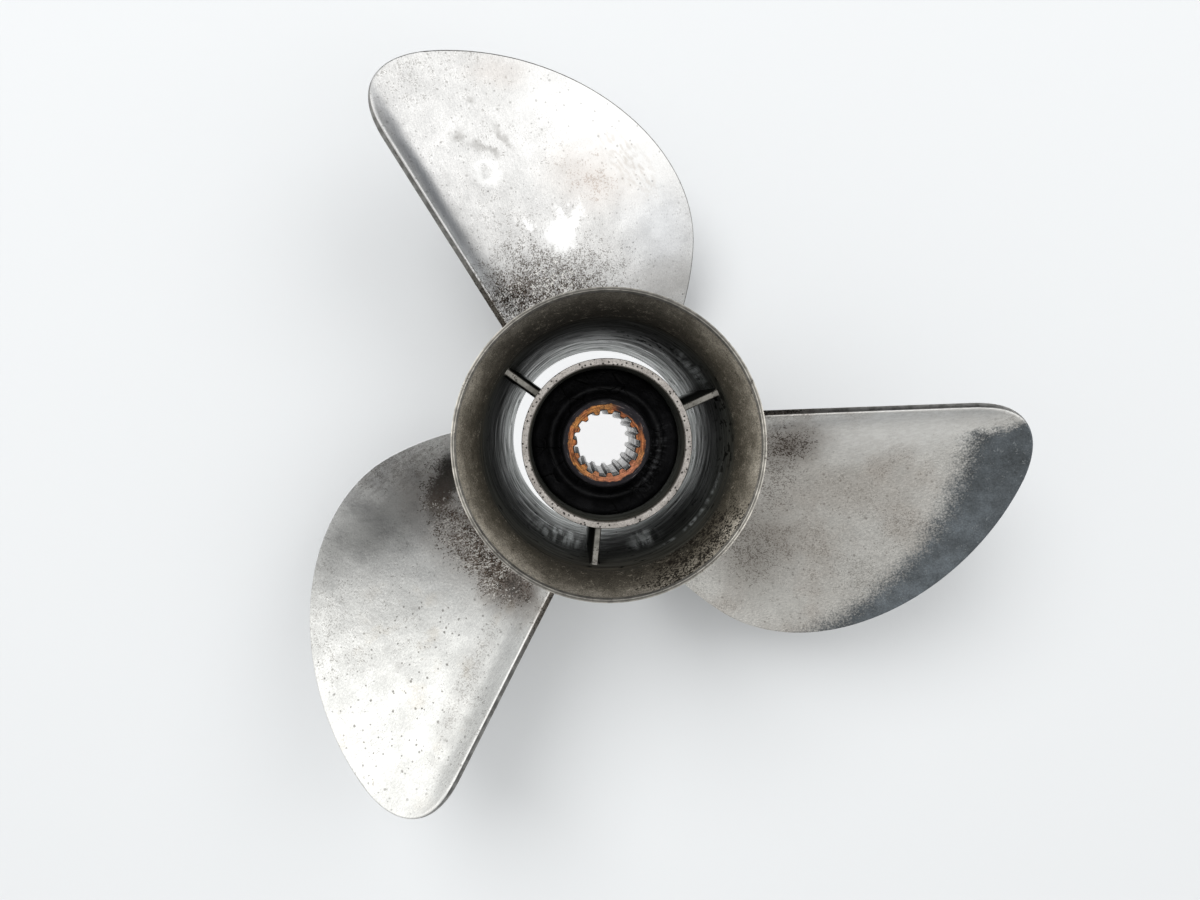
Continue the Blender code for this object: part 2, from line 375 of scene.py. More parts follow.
def rib_section(height, half):
    side = rib_side(TUBE_OUTER - INTO_TUBE, barrel_inner(height) + INTO_BARREL, half)
    return [Vector((x, y, height)) for x, y in side], [Vector((x, -y, height)) for x, y in side]


# %% The three ribs
RIB_STEPS = 6
RIB_EDGE_RADIUS = 0.0004
RIB_EDGE_TURNS = (22.5, 45.0, 67.5, 90.0)
rear_half = RIB_REAR_THICKNESS / 2
front_half = RIB_FRONT_THICKNESS / 2
edge_start = RIB_REAR - RIB_EDGE_RADIUS
rib_sections = []
for step in range(RIB_STEPS + 1):
    share = step / RIB_STEPS
    height = RIB_FRONT + (edge_start - RIB_FRONT) * share
    rib_sections.append(rib_section(height, front_half + (rear_half - front_half) * share))
for turn in RIB_EDGE_TURNS:
    angle = math.radians(turn)
    height = edge_start + RIB_EDGE_RADIUS * math.sin(angle)
    rib_sections.append(rib_section(height, rear_half - RIB_EDGE_RADIUS + RIB_EDGE_RADIUS * math.cos(angle)))
first_rib = extruded_through("rib_pattern", rib_sections)
ribs = [turned_copy(first_rib, f"cast_rib_{i + 1}", degrees) for i, degrees in enumerate(RIB_ANGLES)]
bpy.data.objects.remove(first_rib)
for rib in ribs:
    smooth(rib, 50.0)
print("Rib faces:", len(ribs[0].data.polygons))

# %% [markdown]
# The rubber bush carries the sleeve in the hub. Its rear face has one raised ring with a groove on each
# side, and a thin skin of rubber climbs up the sleeve. All of that is turned. The cracks come later, from
# the material, because they are finer than any edge that is worth modelling.

# %% The rubber bush
SEAM = 0.0003
BUSH_PRESS = 0.00005
BUSH_RIM = ((0.0, -0.0022), (-0.0008, -0.0008), (-0.0022, 0.0))
RIDGE_FOOT = ((0.0036, 0.0), (0.0026, 0.0008))
INNER_GROOVE = ((-0.0024, -0.0004),)
RIDGE_HALF = 0.0019
RIDGE_TURNS = (25.0, 45.0, 65.0, 90.0, 115.0, 135.0, 155.0)
SKIN_FOOT = ((0.0016, -0.0012), (0.0009, 0.0010), (0.0006, 0.0060))
SKIN_TOP = ((0.0005, -0.0012), (0.0002, -0.0004), (-0.0001, -0.0004), (0.00005, -0.0016))
bush_outer = TUBE_INNER - BUSH_PRESS
bush_front = SHOULDER_REAR + SEAM
bush_outline = [(bush_outer, bush_front)] + beside(bush_outer, BUSH_REAR, BUSH_RIM)
bush_outline += beside(BUSH_RIDGE_RADIUS, BUSH_REAR, RIDGE_FOOT)
for turn in RIDGE_TURNS:
    angle = math.radians(turn)
    on_ridge = (RIDGE_HALF * math.cos(angle), BUSH_RIDGE_RISE * math.sin(angle))
    bush_outline += beside(BUSH_RIDGE_RADIUS, BUSH_REAR, (on_ridge,))
bush_outline += beside(BUSH_RIDGE_RADIUS, BUSH_REAR, INNER_GROOVE)
bush_outline += beside(SLEEVE_OUTER, BUSH_REAR, SKIN_FOOT) + beside(SLEEVE_OUTER, SLEEVE_REAR, SKIN_TOP)
bush_outline.append((SLEEVE_OUTER + BUSH_PRESS, bush_front))
rubber_bush_piece = turned("cracked_bush", bush_outline, SPIN)
soften_edges(rubber_bush_piece, 0.0002, degrees=40.0)
smooth(rubber_bush_piece, 50.0)
print("Bush faces:", len(rubber_bush_piece.data.polygons))

# %% [markdown]
# The splined sleeve slides on the shaft. Its toothed bore starts as a circle with eight points to each tooth.
# Some points are turned a little to make the flanks, and the points of the lands are drawn in to the minor
# radius. A second circle and a bridge make the end face, and one extrusion gives the length.

# %% The splined sleeve
RING_POINTS = 8 * SPLINE_TEETH
LAND_POINTS = (-10.5, -7.5, 7.5, 10.5)
FLANK_TURNS = ((4.5, -1.38), (-4.5, 1.38), (7.5, -1.02), (-7.5, 1.02))


def pick_ring_points(piece, wanted):
    """In edit mode, selects the points at the wanted angles from the middle of their own groove."""
    bpy.ops.mesh.select_mode(type="VERT")
    bpy.ops.mesh.select_all(action="DESELECT")
    shape = bmesh.from_edit_mesh(piece.data)
    tooth = 360.0 / SPLINE_TEETH
    for vertex in shape.verts:
        angle = math.degrees(math.atan2(vertex.co.y, vertex.co.x)) - SPLINE_PHASE
        from_groove = (angle + tooth / 2) % tooth - tooth / 2
        vertex.select_set(any(abs(from_groove - want) < 0.2 for want in wanted))
    bmesh.update_edit_mesh(piece.data)


clear_selection()
# A new circle has its first point on the Y axis, so it is turned back by 90 degrees, then by half a step.
first_angle = math.radians(SPLINE_PHASE + 180.0 / RING_POINTS - 90.0)
ring = {"vertices": RING_POINTS, "rotation": (0, 0, first_angle)}
bpy.ops.mesh.primitive_circle_add(radius=SPLINE_MAJOR, **ring)
sleeve = named("toothed_sleeve")
bpy.ops.object.transform_apply(rotation=True)
bpy.ops.object.mode_set(mode="EDIT")
axis_point = {"center_override": (0.0, 0.0, 0.0)}
pick_ring_points(sleeve, LAND_POINTS)
shrink = SPLINE_MINOR / SPLINE_MAJOR
bpy.ops.transform.resize(value=(shrink, shrink, 1.0), **axis_point)
for wanted, degrees in FLANK_TURNS:
    pick_ring_points(sleeve, (wanted,))
    bpy.ops.transform.rotate(value=math.radians(degrees), orient_axis="Z", **axis_point)
rim_points = [round(1000 * vertex.co.length, 2) for vertex in bmesh.from_edit_mesh(sleeve.data).verts]
print("Radii of the bore's points in mm:", sorted(set(rim_points)))

# %% Close the sleeve
bpy.ops.mesh.select_all(action="SELECT")
bpy.ops.mesh.primitive_circle_add(radius=SLEEVE_OUTER, **ring)
bpy.ops.mesh.select_all(action="SELECT")
bpy.ops.mesh.bridge_edge_loops()
bpy.ops.mesh.select_all(action="SELECT")
bpy.ops.transform.translate(value=(0.0, 0.0, SLEEVE_FRONT))
bpy.ops.mesh.extrude_region_move(TRANSFORM_OT_translate={"value": (0.0, 0.0, SLEEVE_REAR - SLEEVE_FRONT)})
bpy.ops.mesh.select_all(action="SELECT")
bpy.ops.mesh.normals_make_consistent(inside=False)
bpy.ops.object.mode_set(mode="OBJECT")
soften_edges(sleeve, 0.00042, degrees=35.0)
smooth(sleeve, 30.0)
print("Sleeve faces:", len(sleeve.data.polygons))

# %% [markdown]
# A blade is the hardest shape. Its face is a helical surface of constant pitch that leans aft, and its
# outline is two chains of Bezier arcs. Every section runs from the leading to the trailing edge on the aft
# face and back on the fore face. The trailing edge is blunt and curls aft a little, which is called the cup.

# %% The blade's face and outline
def face_point(radius, angle):
    height = FACE_HEIGHT + PITCH * angle / math.tau + RAKE * (radius - FACE_RADIUS)
    return Vector((radius * math.cos(angle), radius * math.sin(angle), height))


ARC_STEPS = 240
SMALL_WAY = 0.004


def edge_table(arcs):
    """Radius and angle of fine points along a chain of arcs."""
    points = []
    for arc in arcs:
        corners = [Vector((x, y, 0.0)) for x, y in arc]
        points += interpolate_bezier(*corners, ARC_STEPS + 1)[bool(points):]
    return [(point.length, math.atan2(point.y, point.x)) for point in points]


def look_up(table, way):
    """A point of the edge at a way from 0, at the root, to 2, at the tip."""
    place = min(max(way * ARC_STEPS, 0.0), len(table) - 1.001)
    low = int(place)
    part = place - low
    return [table[low][k] * (1 - part) + table[low + 1][k] * part for k in (0, 1)]


def inset_edge(table, way, inset, side):
    """A point of the edge moved into the blade, square to the edge. The side is 1 or -1."""
    here, ahead, behind = [look_up(table, way + step) for step in (0.0, SMALL_WAY, -SMALL_WAY)]
    x, y = here[0] * math.cos(here[1]), here[0] * math.sin(here[1])
    along = Vector((ahead[0] * math.cos(ahead[1]) - behind[0] * math.cos(behind[1]),
                    ahead[0] * math.sin(ahead[1]) - behind[0] * math.sin(behind[1]))).normalized()
    x -= side * along.y * inset
    y += side * along.x * inset
    return math.hypot(x, y), math.atan2(y, x)


leading = edge_table(LEADING_EDGE)
trailing = edge_table(TRAILING_EDGE)
print("Points along each edge:", len(leading), len(trailing))


# %% The blade's thickness and cup
THINNING = 0.7
BLUNT_FADE = 2.2
SWELL_FORE = 0.85
SWELL_POWER = 2.2
SMALL_ANGLE = 0.01
SMALL_STEP = 0.001


def section_point(share, way, inset, drop):
    """Places on the aft and fore faces, and two directions. The drop thins the blade at its rounded edges."""
    start = look_up(leading, way)
    span = (start[0] - leading[0][0]) / (leading[-1][0] - leading[0][0])
    full = ROOT_THICKNESS + (TIP_THICKNESS - ROOT_THICKNESS) * span**THINNING
    outboard = min(1.0, BLUNT_FADE * (1.0 - span))
    blunt = LEADING_THICKNESS + (TRAILING_THICKNESS - LEADING_THICKNESS) * outboard
    lead = inset_edge(leading, way, inset, 1.0)
    trail = inset_edge(trailing, way, inset + TRAILING_INSET * outboard, -1.0)
    chord = (trail[1] - lead[1]) * trail[0]
    radius = lead[0] + (trail[0] - lead[0]) * share
    angle = lead[1] + (trail[1] - lead[1]) * share
    place = face_point(radius, angle)
    to_trail = (face_point(radius, angle + SMALL_ANGLE) - place).normalized()
    normal = (face_point(radius + SMALL_STEP, angle) - place).cross(to_trail).normalized()
    curl = max(0.0, 1.0 - chord * (1.0 - share) / CUP_WIDTH) * outboard
    square = (normal - to_trail * (2.0 * CUP_RISE / CUP_WIDTH * curl)).normalized()
    edge = LEADING_THICKNESS + (blunt - LEADING_THICKNESS) * share
    swell = max(0.0, full - edge) * (1.0 - abs(2.0 * share**SWELL_FORE - 1.0) ** SWELL_POWER)
    aft = place + normal * (CUP_RISE * curl**2)
    return aft - square * drop, aft - square * (edge + swell - drop), normal, to_trail


# %% [markdown]
# At its root the blade must meet the round barrel in a fillet. For each place along the section, the rows
# next to the hub are found by their distance from the barrel, by halving, and on each face apart, because
# the blade is thick there and leans. The closer a row is, the more it is widened, along a quarter of a
# circle, and the first row lies inside the barrel's wall.

# %% The blade's rows
ROOT_FILLET = 0.0050
ROOT_GAPS = (-0.0012, 0.0, 0.0004, 0.0009, 0.0015, 0.0022, 0.0030, 0.0039, 0.0050)
OUTER_ROWS = 64
LAST_WAY = 1.988
HALVINGS = 22


def fillet(gap):
    reach = min(max(ROOT_FILLET - gap, 0.0), ROOT_FILLET)
    return ROOT_FILLET - math.sqrt(ROOT_FILLET**2 - reach**2)


def face_place(side, column, way, widening):
    """A point of the aft (side 1) or fore (side -1) face, moved out by the fillet's widening."""
    share, inset, drop, turn = column
    aft, fore, normal, to_trail = section_point(share, way, inset, drop)
    start = aft if side > 0 else fore
    outward = normal * (side * math.cos(turn)) + to_trail * (math.sin(turn) * (1.0 if share > 0.5 else -1.0))
    return start + outward * widening


def barrel_gap(point):
    return math.hypot(point.x, point.y) - barrel_outer(point.z)


def way_at_gap(side, column, gap):
    """How far along the edges the widened face is this far outside the barrel."""
    near, far = 0.0, 1.0
    for _ in range(HALVINGS):
        middle = (near + far) / 2
        if barrel_gap(face_place(side, column, middle, fillet(gap))) < gap:
            near = middle
        else:
            far = middle
    return (near + far) / 2


def blade_column(side, column):
    """The points of one face from the root to the tip, for one column of the section."""
    ways = [(way_at_gap(side, column, gap), fillet(gap)) for gap in ROOT_GAPS]
    start = ways[-1][0]
    for row in range(1, OUTER_ROWS + 1):
        ways.append((start + (LAST_WAY - start) * (row / OUTER_ROWS), 0.0))
    points = [face_place(side, column, way, widening) for way, widening in ways[:-1]]
    share, inset, drop, turn = column
    tip_column = (share, 0.1 * inset, max(drop, 0.9 * EDGE_ROUNDING), turn)
    return points + [face_place(side, tip_column, LAST_WAY, 0.0)]


# %% The columns of a section
SECTION_STEPS = 44
EDGE_ROUNDING = 0.00040
EDGE_TURNS = [math.radians(turn) for turn in (90.0, 60.0, 30.0)]
END_CROWDING = 0.7
corners = []
for turn in EDGE_TURNS:
    corners.append((EDGE_ROUNDING * (1.0 - math.sin(turn)), EDGE_ROUNDING * (1.0 - math.cos(turn)), turn))
shares = [i / SECTION_STEPS for i in range(SECTION_STEPS + 1)]
shares = [share - END_CROWDING * math.sin(math.tau * share) / math.tau for share in shares]
columns = [(0.0, *corner) for corner in corners]
columns += [(share, EDGE_ROUNDING, 0.0, 0.0) for share in shares]
columns += [(1.0, *corner) for corner in corners[::-1]]
print("Columns of a blade's section:", len(columns))

# %% One blade
aft_columns = [blade_column(1, column) for column in columns]
fore_columns = [blade_column(-1, column) for column in columns]
root_lines = aft_columns + fore_columns
off = [abs(barrel_gap(line[row]) - gap) for line in root_lines for row, gap in enumerate(ROOT_GAPS)]
print("Root rows are off their distance from the barrel by at most mm:", round(1000 * max(off), 3))
blade_sections = list(zip(zip(*aft_columns), zip(*fore_columns)))
blade_pattern = extruded_through("blade_pattern", blade_sections)
print("Blade rows:", len(blade_sections), "faces:", len(blade_pattern.data.polygons))


# %% Mark the blunt edges, and copy the blade
def joins_sides(face, number):
    return len({vertex[number] // len(columns) for vertex in face.verts}) == 2


def rounds_leading_edge(face, number):
    return all(vertex[number] % len(columns) <= len(corners) for vertex in face.verts)


for _ in range(2):
    blade_pattern.data.materials.append(None)
print("Blunt faces:", give_faces(blade_pattern, 1, joins_sides))
blades = [turned_copy(blade_pattern, f"cast_blade_{i}", angle) for i, angle in enumerate(BLADE_ANGLES, 1)]
bpy.data.objects.remove(blade_pattern)
# The first blade's leading-edge rounding takes the dark blunt finish as a painted dark reflection.
print("Dark rounding of the first blade:", give_faces(blades[0], 1, rounds_leading_edge))
for blade in blades:
    smooth(blade, 40.0)
print("Blades:", [blade.name for blade in blades])

# %% [markdown]
# Now the finishes. All are made of nodes and read Object coordinates, in metres, so a stain or pit keeps its
# place on the part from any side. A few helpers keep the node code short: one adds a node and fills its
# sockets, and the others do arithmetic with numbers and vectors that change over the surface. They all work
# in the node tree that was opened last.

# %% Node helpers
open_trees = []


def plug(socket, value):
    if isinstance(value, bpy.types.NodeSocket):
        open_trees[-1].links.new(value, socket)
    else:
        socket.default_value = value


def add_node(kind, sockets=None, **settings):
    node = open_trees[-1].nodes.new("ShaderNode" + kind)
    for name, value in settings.items():
        setattr(node, name, value)
    for name, value in (sockets or {}).items():
        plug(node.inputs[name], value)
    return node


def spread(value, low, high, start=0.0, end=1.0):
    """Maps low to start and high to end, smoothly, and holds both beyond."""
    ends = {"Value": value, "From Min": low, "From Max": high, "To Min": start, "To Max": end}
    return add_node("MapRange", ends, interpolation_type="SMOOTHSTEP").outputs[0]


# %% Arithmetic helpers
def reckon(operation, first, second=0.0):
    return add_node("Math", {0: first, 1: second}, operation=operation).outputs[0]


def times(first, second):
    return reckon("MULTIPLY", first, second)


def plus(first, second):
    return reckon("ADD", first, second)


def minus(first, second):
    return reckon("SUBTRACT", first, second)


def larger(first, second):
    return reckon("MAXIMUM", first, second)


def vectors(operation, *values):
    """The outcome of a vector operation: a number for a length or a dot product, otherwise a vector."""
    node = add_node("VectorMath", dict(enumerate(values)), operation=operation)
    return node.outputs["Value" if operation in ("LENGTH", "DOT_PRODUCT") else "Vector"]


# %% Colour helpers
MIX_SOCKETS = (0, 6, 7)


def blend(share, first, second, way="MIX"):
    """Mixes two colours. The Mix node's colour sockets come after those for numbers and vectors."""
    node = add_node("Mix", data_type="RGBA", blend_type=way)
    for socket, value in zip(MIX_SOCKETS, (share, first, second)):
        if isinstance(value, tuple) and len(value) == 3:
            value = (*value, 1.0)
        plug(node.inputs[socket], value)
    return node.outputs[2]


def stain(colour, mask, strength, stain_colour):
    """Lays one colour over another where a mask says, at a strength."""
    return blend(times(mask, strength), colour, stain_colour)


def shaded(colour, factor):
    """Makes a colour lighter or darker by a factor that changes over the surface."""
    grey = add_node("CombineColor", {0: factor, 1: factor, 2: factor}).outputs[0]
    return blend(1.0, colour, grey, "MULTIPLY")


def mottled(colour, pattern, dark, light, low=0.3, high=0.7):
    """Shades a colour by a factor from dark to light, as a pattern goes from low to high."""
    return shaded(colour, spread(pattern, low, high, dark, light))


def ramp(value, stops):
    """A colour ramp through (position, colour) stops."""
    node = add_node("ValToRGB", {"Fac": value})
    first, last = node.color_ramp.elements
    for element, (position, colour) in ((first, stops[0]), (last, stops[-1])):
        element.position = position
        element.color = (*colour, 1.0)
    for position, colour in stops[1:-1]:
        node.color_ramp.elements.new(position).color = (*colour, 1.0)
    return node.outputs["Color"]


def grey_ramp(value, stops, tint=(1.0, 1.0, 1.0)):
    """A ramp through (position, grey) stops, all with one tint."""
    return ramp(value, [(place, tuple(grey * part for part in tint)) for place, grey in stops])


# %% Pattern helpers
ACROSS_SHAFT = (1.0, 1.0, 0.0)


def places():
    return add_node("TexCoord").outputs["Object"]


def rise():
    """Height above the front rim."""
    return add_node("SeparateXYZ", {"Vector": places()}).outputs["Z"]


def distance_from_axis(vector=None):
    return vectors("LENGTH", vectors("MULTIPLY", vector or places(), ACROSS_SHAFT))


def noise(scale, detail=3.0, vector=None, roughness=0.55):
    sockets = {"Vector": vector or places(), "Scale": scale, "Detail": detail, "Roughness": roughness}
    return add_node("TexNoise", sockets).outputs["Fac"]


def warped(amount, scale=60.0, start=None):
    """Object coordinates pushed about by noise, so that a stain has an uneven border."""
    cloud = add_node("TexNoise", {"Vector": places(), "Scale": scale, "Detail": 5.0, "Roughness": 0.65})
    centred = vectors("SUBTRACT", cloud.outputs["Color"], (0.5, 0.5, 0.5))
    return vectors("MULTIPLY_ADD", centred, (amount, amount, amount), start or places())


def stretched(vector, degrees, sizes, centre=(0.0, 0.0, 0.0)):
    """Coordinates measured from a centre, along directions turned round Z, in units of the sizes."""
    turn = (0.0, 0.0, math.radians(degrees))
    sockets = {"Vector": vector, "Location": centre, "Rotation": turn, "Scale": sizes}
    return add_node("Mapping", sockets, vector_type="TEXTURE").outputs[0]


def patch(vector, centre, radii, turn=0.0, soft=0.5):
    """1 inside an ellipsoid round a place on the part, fading to 0 over its soft border."""
    length = vectors("LENGTH", stretched(vector, turn, radii, centre))
    return spread(length, 1.0 + soft, 1.0 - soft)


def spot(centre, radii, turn=0.0, soft=0.9, wobble=0.012, scale=60.0):
    """A patch with an uneven border."""
    return patch(warped(wobble, scale), centre, radii, turn, soft)


# %% Patterns of wear
def specks(density, scale):
    """Tiny grains in clusters, which crowd together as the density goes from 0 to 1."""
    cells = add_node("TexVoronoi", {"Vector": places(), "Scale": 1.8 * scale})
    grain = add_node("SeparateColor", {"Color": cells.outputs["Color"]}).outputs[0]
    level = plus(times(grain, 0.45), noise(0.20 * scale, 5.0, roughness=0.75))
    level = plus(level, times(density, 0.5))
    return times(spread(level, 1.14, 1.26), spread(density, 0.0, 0.06))


def speckled(colour, density, scale, strength, speck_colour):
    return stain(colour, specks(density, scale), strength, speck_colour)


def pits(scale, size, share, dimensions="3D"):
    """Small uneven pits: a few cells of a Voronoi pattern get a dot. 1 in a pit."""
    sockets = {"Vector": warped(0.0008, 900.0), "Scale": scale, "Randomness": 1.0}
    node = add_node("TexVoronoi", sockets, voronoi_dimensions=dimensions)
    dots = spread(node.outputs["Distance"], size, size * 0.4)
    chosen = add_node("SeparateColor", {"Color": node.outputs["Color"]}).outputs[0]
    return times(dots, reckon("GREATER_THAN", chosen, 1.0 - share))


def strokes(degrees, length, width, detail=3.0):
    """Noise drawn out along one direction, like the marks of a brush or a grinder."""
    return noise(1.0, detail, stretched(places(), degrees, (length, width, width)))


def noise_round_axis(around, other, detail):
    """Noise drawn out round the shaft's axis. The other vector says how it changes across that."""
    unit = vectors("NORMALIZE", vectors("MULTIPLY", places(), ACROSS_SHAFT))
    ring = vectors("MULTIPLY", unit, (around, around, 0.0))
    return noise(1.0, detail, vectors("ADD", ring, other))


def round_streaks(around, along, detail=4.0):
    """Streaks round the axis that change along it, like tool marks in a turned bore."""
    return noise_round_axis(around, vectors("MULTIPLY", places(), (0.0, 0.0, along)), detail)


def rings_round_axis(around, outward, detail=5.0):
    """Uneven rings on a flat end face."""
    out = add_node("CombineXYZ", {"Z": times(distance_from_axis(), outward)}).outputs[0]
    return noise_round_axis(around, out, detail)


# %% A helper that makes a finish
def finish(name, colour, roughness, metallic, height=None, depth=0.0002, strength=0.4, shine=0.5):
    """A material from what the small functions return: colour and roughness, and an optional bump."""
    material = bpy.data.materials.new(name)
    material.use_nodes = True
    open_trees.append(material.node_tree)
    shader = material.node_tree.nodes["Principled BSDF"]
    plug(shader.inputs["Base Color"], colour())
    plug(shader.inputs["Roughness"], roughness())
    plug(shader.inputs["Metallic"], metallic() if callable(metallic) else metallic)
    shader.inputs["Specular IOR Level"].default_value = shine
    if height:
        bump = add_node("Bump", {"Height": height(), "Strength": strength, "Distance": depth})
        plug(shader.inputs["Normal"], bump.outputs[0])
    return material


def paint(piece, *materials):
    for material in materials:
        piece.data.materials.append(material)


# %% [markdown]
# The blades are satin stainless steel. The base is a cloudy light grey with faint brush strokes, a scatter of
# fine dark specks and some pits. Each blade then gets its own stains, at places measured on the part, because
# no two blades of a used propeller wear alike. Blade 1 also gets a painted highlight and painted dark
# reflections in its cup and on its leading edge, and blade 2 a painted slate reflection over its tip.

# %% The steel under all the stains
SOOT = (0.030, 0.026, 0.023)
PAINTED_SLATE_REFLECTION = (0.088, 0.102, 0.114)
CHALK = (0.98, 0.98, 0.97)
FINE_PITS = (420.0, 0.13, 0.22)
WIDE_PITS = (160.0, 0.085, 0.20)


def steel_clouds(light, dark, brush_angle, speckle=0.60):
    colour = blend(spread(noise(26.0, 6.0), 0.32, 0.66), dark, light)
    colour = mottled(colour, noise(150.0, 6.0, roughness=0.7), 0.93, 1.05)
    colour = mottled(colour, noise(1900.0, 3.0, roughness=0.7), 0.87, 1.10)
    colour = mottled(colour, strokes(brush_angle, 0.016, 0.0005), 0.92, 1.07)
    crowd = spread(noise(34.0, 4.0), 0.32, 0.68, 0.30, speckle)
    colour = speckled(colour, crowd, 1500.0, 0.55, (0.24, 0.225, 0.205))
    colour = stain(colour, pits(*FINE_PITS), 0.60, (0.17, 0.155, 0.135))
    return stain(colour, pits(*WIDE_PITS), 0.80, (0.11, 0.10, 0.09))


def steel_roughness():
    return spread(noise(90.0, 5.0), 0.25, 0.75, 0.30, 0.42)


def steel_height():
    grain = spread(noise(1100.0, 3.0), 0.2, 0.8, 0.0, 0.14)
    dents = spread(noise(110.0, 3.0), 0.2, 0.8, 0.0, 0.60)
    holes = plus(pits(*FINE_PITS), pits(*WIDE_PITS))
    return minus(plus(grain, dents), times(holes, 0.6))


def face_dots():
    """Round dark dots about a millimetre wide. They are placed as seen along the shaft."""
    return larger(pits(270.0, 0.13, 0.30, "2D"), pits(125.0, 0.085, 0.34, "2D"))


# %% [markdown]
# Most stains have two layers: a thin veil of colour, and grains that crowd together in it. So each stain is
# one row of a table, and one loop lays the rows in their order. A few rows are no stains but painted light and
# shade, a veil alone. A row holds a place, a veil and grains. The place is a spot's centre, radii, turn,
# softness, wobble and the wobble's scale. The veil is a strength and a colour. The grains are crowding, scale,
# strength and colour.

# %% Helpers that lay stains
def lay_spots(colour, rows):
    for place, veil, grains in rows:
        where = spot(*place)
        if veil:
            colour = stain(colour, where, *veil)
        if grains:
            crowding, *look = grains
            colour = speckled(colour, times(where, crowding), *look)
    return colour


def lay_marks(colour, vector, marks, soft, strength, mark_colour):
    """Lays small marks of one colour, each given by its centre, radii and turn."""
    for mark in marks:
        colour = stain(colour, patch(vector, *mark, soft), strength, mark_colour)
    return colour


def strongest(rows, soft):
    """The largest of some spots in each place. A row is a centre, radii and a strength."""
    where = 0.0
    for centre, radii, strength in rows:
        there = spot(centre, radii, soft=soft, wobble=0.010)
        where = larger(where, times(there, strength))
    return where


# %% The first blade's stains
BLADE_1_CLOSE = ((-0.0140, 0.0620, 0.065), (0.031, 0.018, 0.080), 0, 0.8)
BLADE_1_STAINS_AND_CUP_REFLECTION = (
    (((-0.0080, 0.0670, 0.060), (0.040, 0.026, 0.080)),
     (0.12, (0.42, 0.405, 0.385)), (1.0, 1400, 0.75, (0.13, 0.115, 0.100))),
    (BLADE_1_CLOSE, None, (1.0, 1100, 0.92, (0.075, 0.058, 0.045))),
    (((-0.0245, 0.0640, 0.070), (0.0115, 0.0080, 0.040), 0, 0.9, 0.010, 200),
     (0.35, (0.16, 0.125, 0.100)), (1.0, 1000, 0.95, (0.036, 0.027, 0.021))),
    (BLADE_1_CLOSE, None, (0.75, 1250, 0.90, (0.90, 0.88, 0.84))),
    (((0.0440, 0.0860, 0.040), (0.014, 0.015, 0.040), 20, 0.9, 0.014), (0.45, (0.66, 0.68, 0.71)), None),
    (((0.0440, 0.0655, 0.032), (0.015, 0.0085, 0.040), 10, 0.45, 0.008), (0.34, (0.34, 0.325, 0.31)), None),
    # This row is no stain: it is a painted dark slate reflection along the cup.
    (((-0.0475, 0.1110, 0.084), (0.0019, 0.034, 0.060), 19, 0.95, 0.003), (0.66, (0.21, 0.225, 0.25)), None),
)
BLADE_1_RUST = (
    (((0.0165, 0.1105, 0.056), (0.0150, 0.0100, 0.050), -20, 0.9, 0.016),
     (0.40, (0.50, 0.43, 0.38)), (0.75, 1300, 0.50, (0.36, 0.28, 0.23))),
)
BLADE_1_PINK = (
    (((-0.0135, 0.1525, 0.079), (0.0100, 0.0045, 0.040), 0, 0.8, 0.010), (0.26, (0.52, 0.45, 0.40)), None),
)
# A painted highlight right of the blade's middle.
BLADE_1_PAINTED_HIGHLIGHT = (
    (((0.0260, 0.1270, 0.060), (0.034, 0.022, 0.060), -38, 0.9, 0.030), (0.75, (0.92, 0.915, 0.905)), None),
)
BLADE_1_SMUDGES = (
    ((-0.0262, 0.1256, 0.077), (0.0042, 0.0015, 0.03), -22),
    ((-0.0212, 0.1231, 0.075), (0.0013, 0.0024, 0.03), 20),
    ((-0.0164, 0.1290, 0.073), (0.0013, 0.0046, 0.03), 28),
    ((-0.0338, 0.1300, 0.080), (0.0020, 0.0016, 0.03), 0),
    ((-0.0252, 0.1434, 0.080), (0.0012, 0.0009, 0.03), 0),
)
BLADE_1_SPLASH = (
    ((-0.0012, 0.0885, 0.058), (0.0066, 0.0062, 0.03), 0),
    ((0.0058, 0.0945, 0.056), (0.0016, 0.0064, 0.03), -24),
    ((0.0018, 0.0962, 0.058), (0.0010, 0.0046, 0.03), 16),
    ((0.0094, 0.0955, 0.055), (0.0009, 0.0036, 0.03), -30),
    ((-0.0122, 0.0935, 0.064), (0.0022, 0.0012, 0.03), 0),
    ((-0.0136, 0.0957, 0.065), (0.0012, 0.0010, 0.03), 0),
)
RING_CENTRE = (-0.0252, 0.1159, 0.075)


def blade_1_marks(colour):
    """Smudges and a pale ring in the middle, and a rusty veil at the right."""
    claw = warped(0.004, 500.0, warped(0.007, 150.0))
    colour = lay_marks(colour, claw, BLADE_1_SMUDGES, 0.95, 0.62, (0.34, 0.33, 0.315))
    outer = patch(claw, RING_CENTRE, (0.0056, 0.0050, 0.03), soft=0.35)
    inner = patch(claw, RING_CENTRE, (0.0030, 0.0026, 0.03), soft=0.45)
    colour = stain(colour, minus(outer, inner), 0.55, CHALK)
    colour = lay_spots(colour, BLADE_1_RUST)
    swept = spot((0.0340, 0.1150, 0.053), (0.0060, 0.0150, 0.050), 32, 0.8, 0.008)
    lines = spread(strokes(122.0, 0.040, 0.0016), 0.40, 0.68)
    colour = stain(colour, times(swept, lines), 0.42, (0.46, 0.40, 0.34))
    return lay_spots(colour, BLADE_1_PINK)


def blade_1_colour():
    """Dark specks crowd towards the hub, a painted highlight lies right of the middle, a painted slate
    reflection lies in the cup, and a chalky splash lies over them.
    """
    colour = steel_clouds((0.76, 0.755, 0.745), (0.67, 0.665, 0.655), 100.0)
    colour = lay_spots(colour, BLADE_1_PAINTED_HIGHLIGHT)
    colour = stain(colour, face_dots(), 0.45, (0.22, 0.21, 0.195))
    colour = blade_1_marks(lay_spots(colour, BLADE_1_STAINS_AND_CUP_REFLECTION))
    ragged = warped(0.005, 900.0, warped(0.012, 240.0))
    return lay_marks(colour, ragged, BLADE_1_SPLASH, 0.55, 1.0, CHALK)


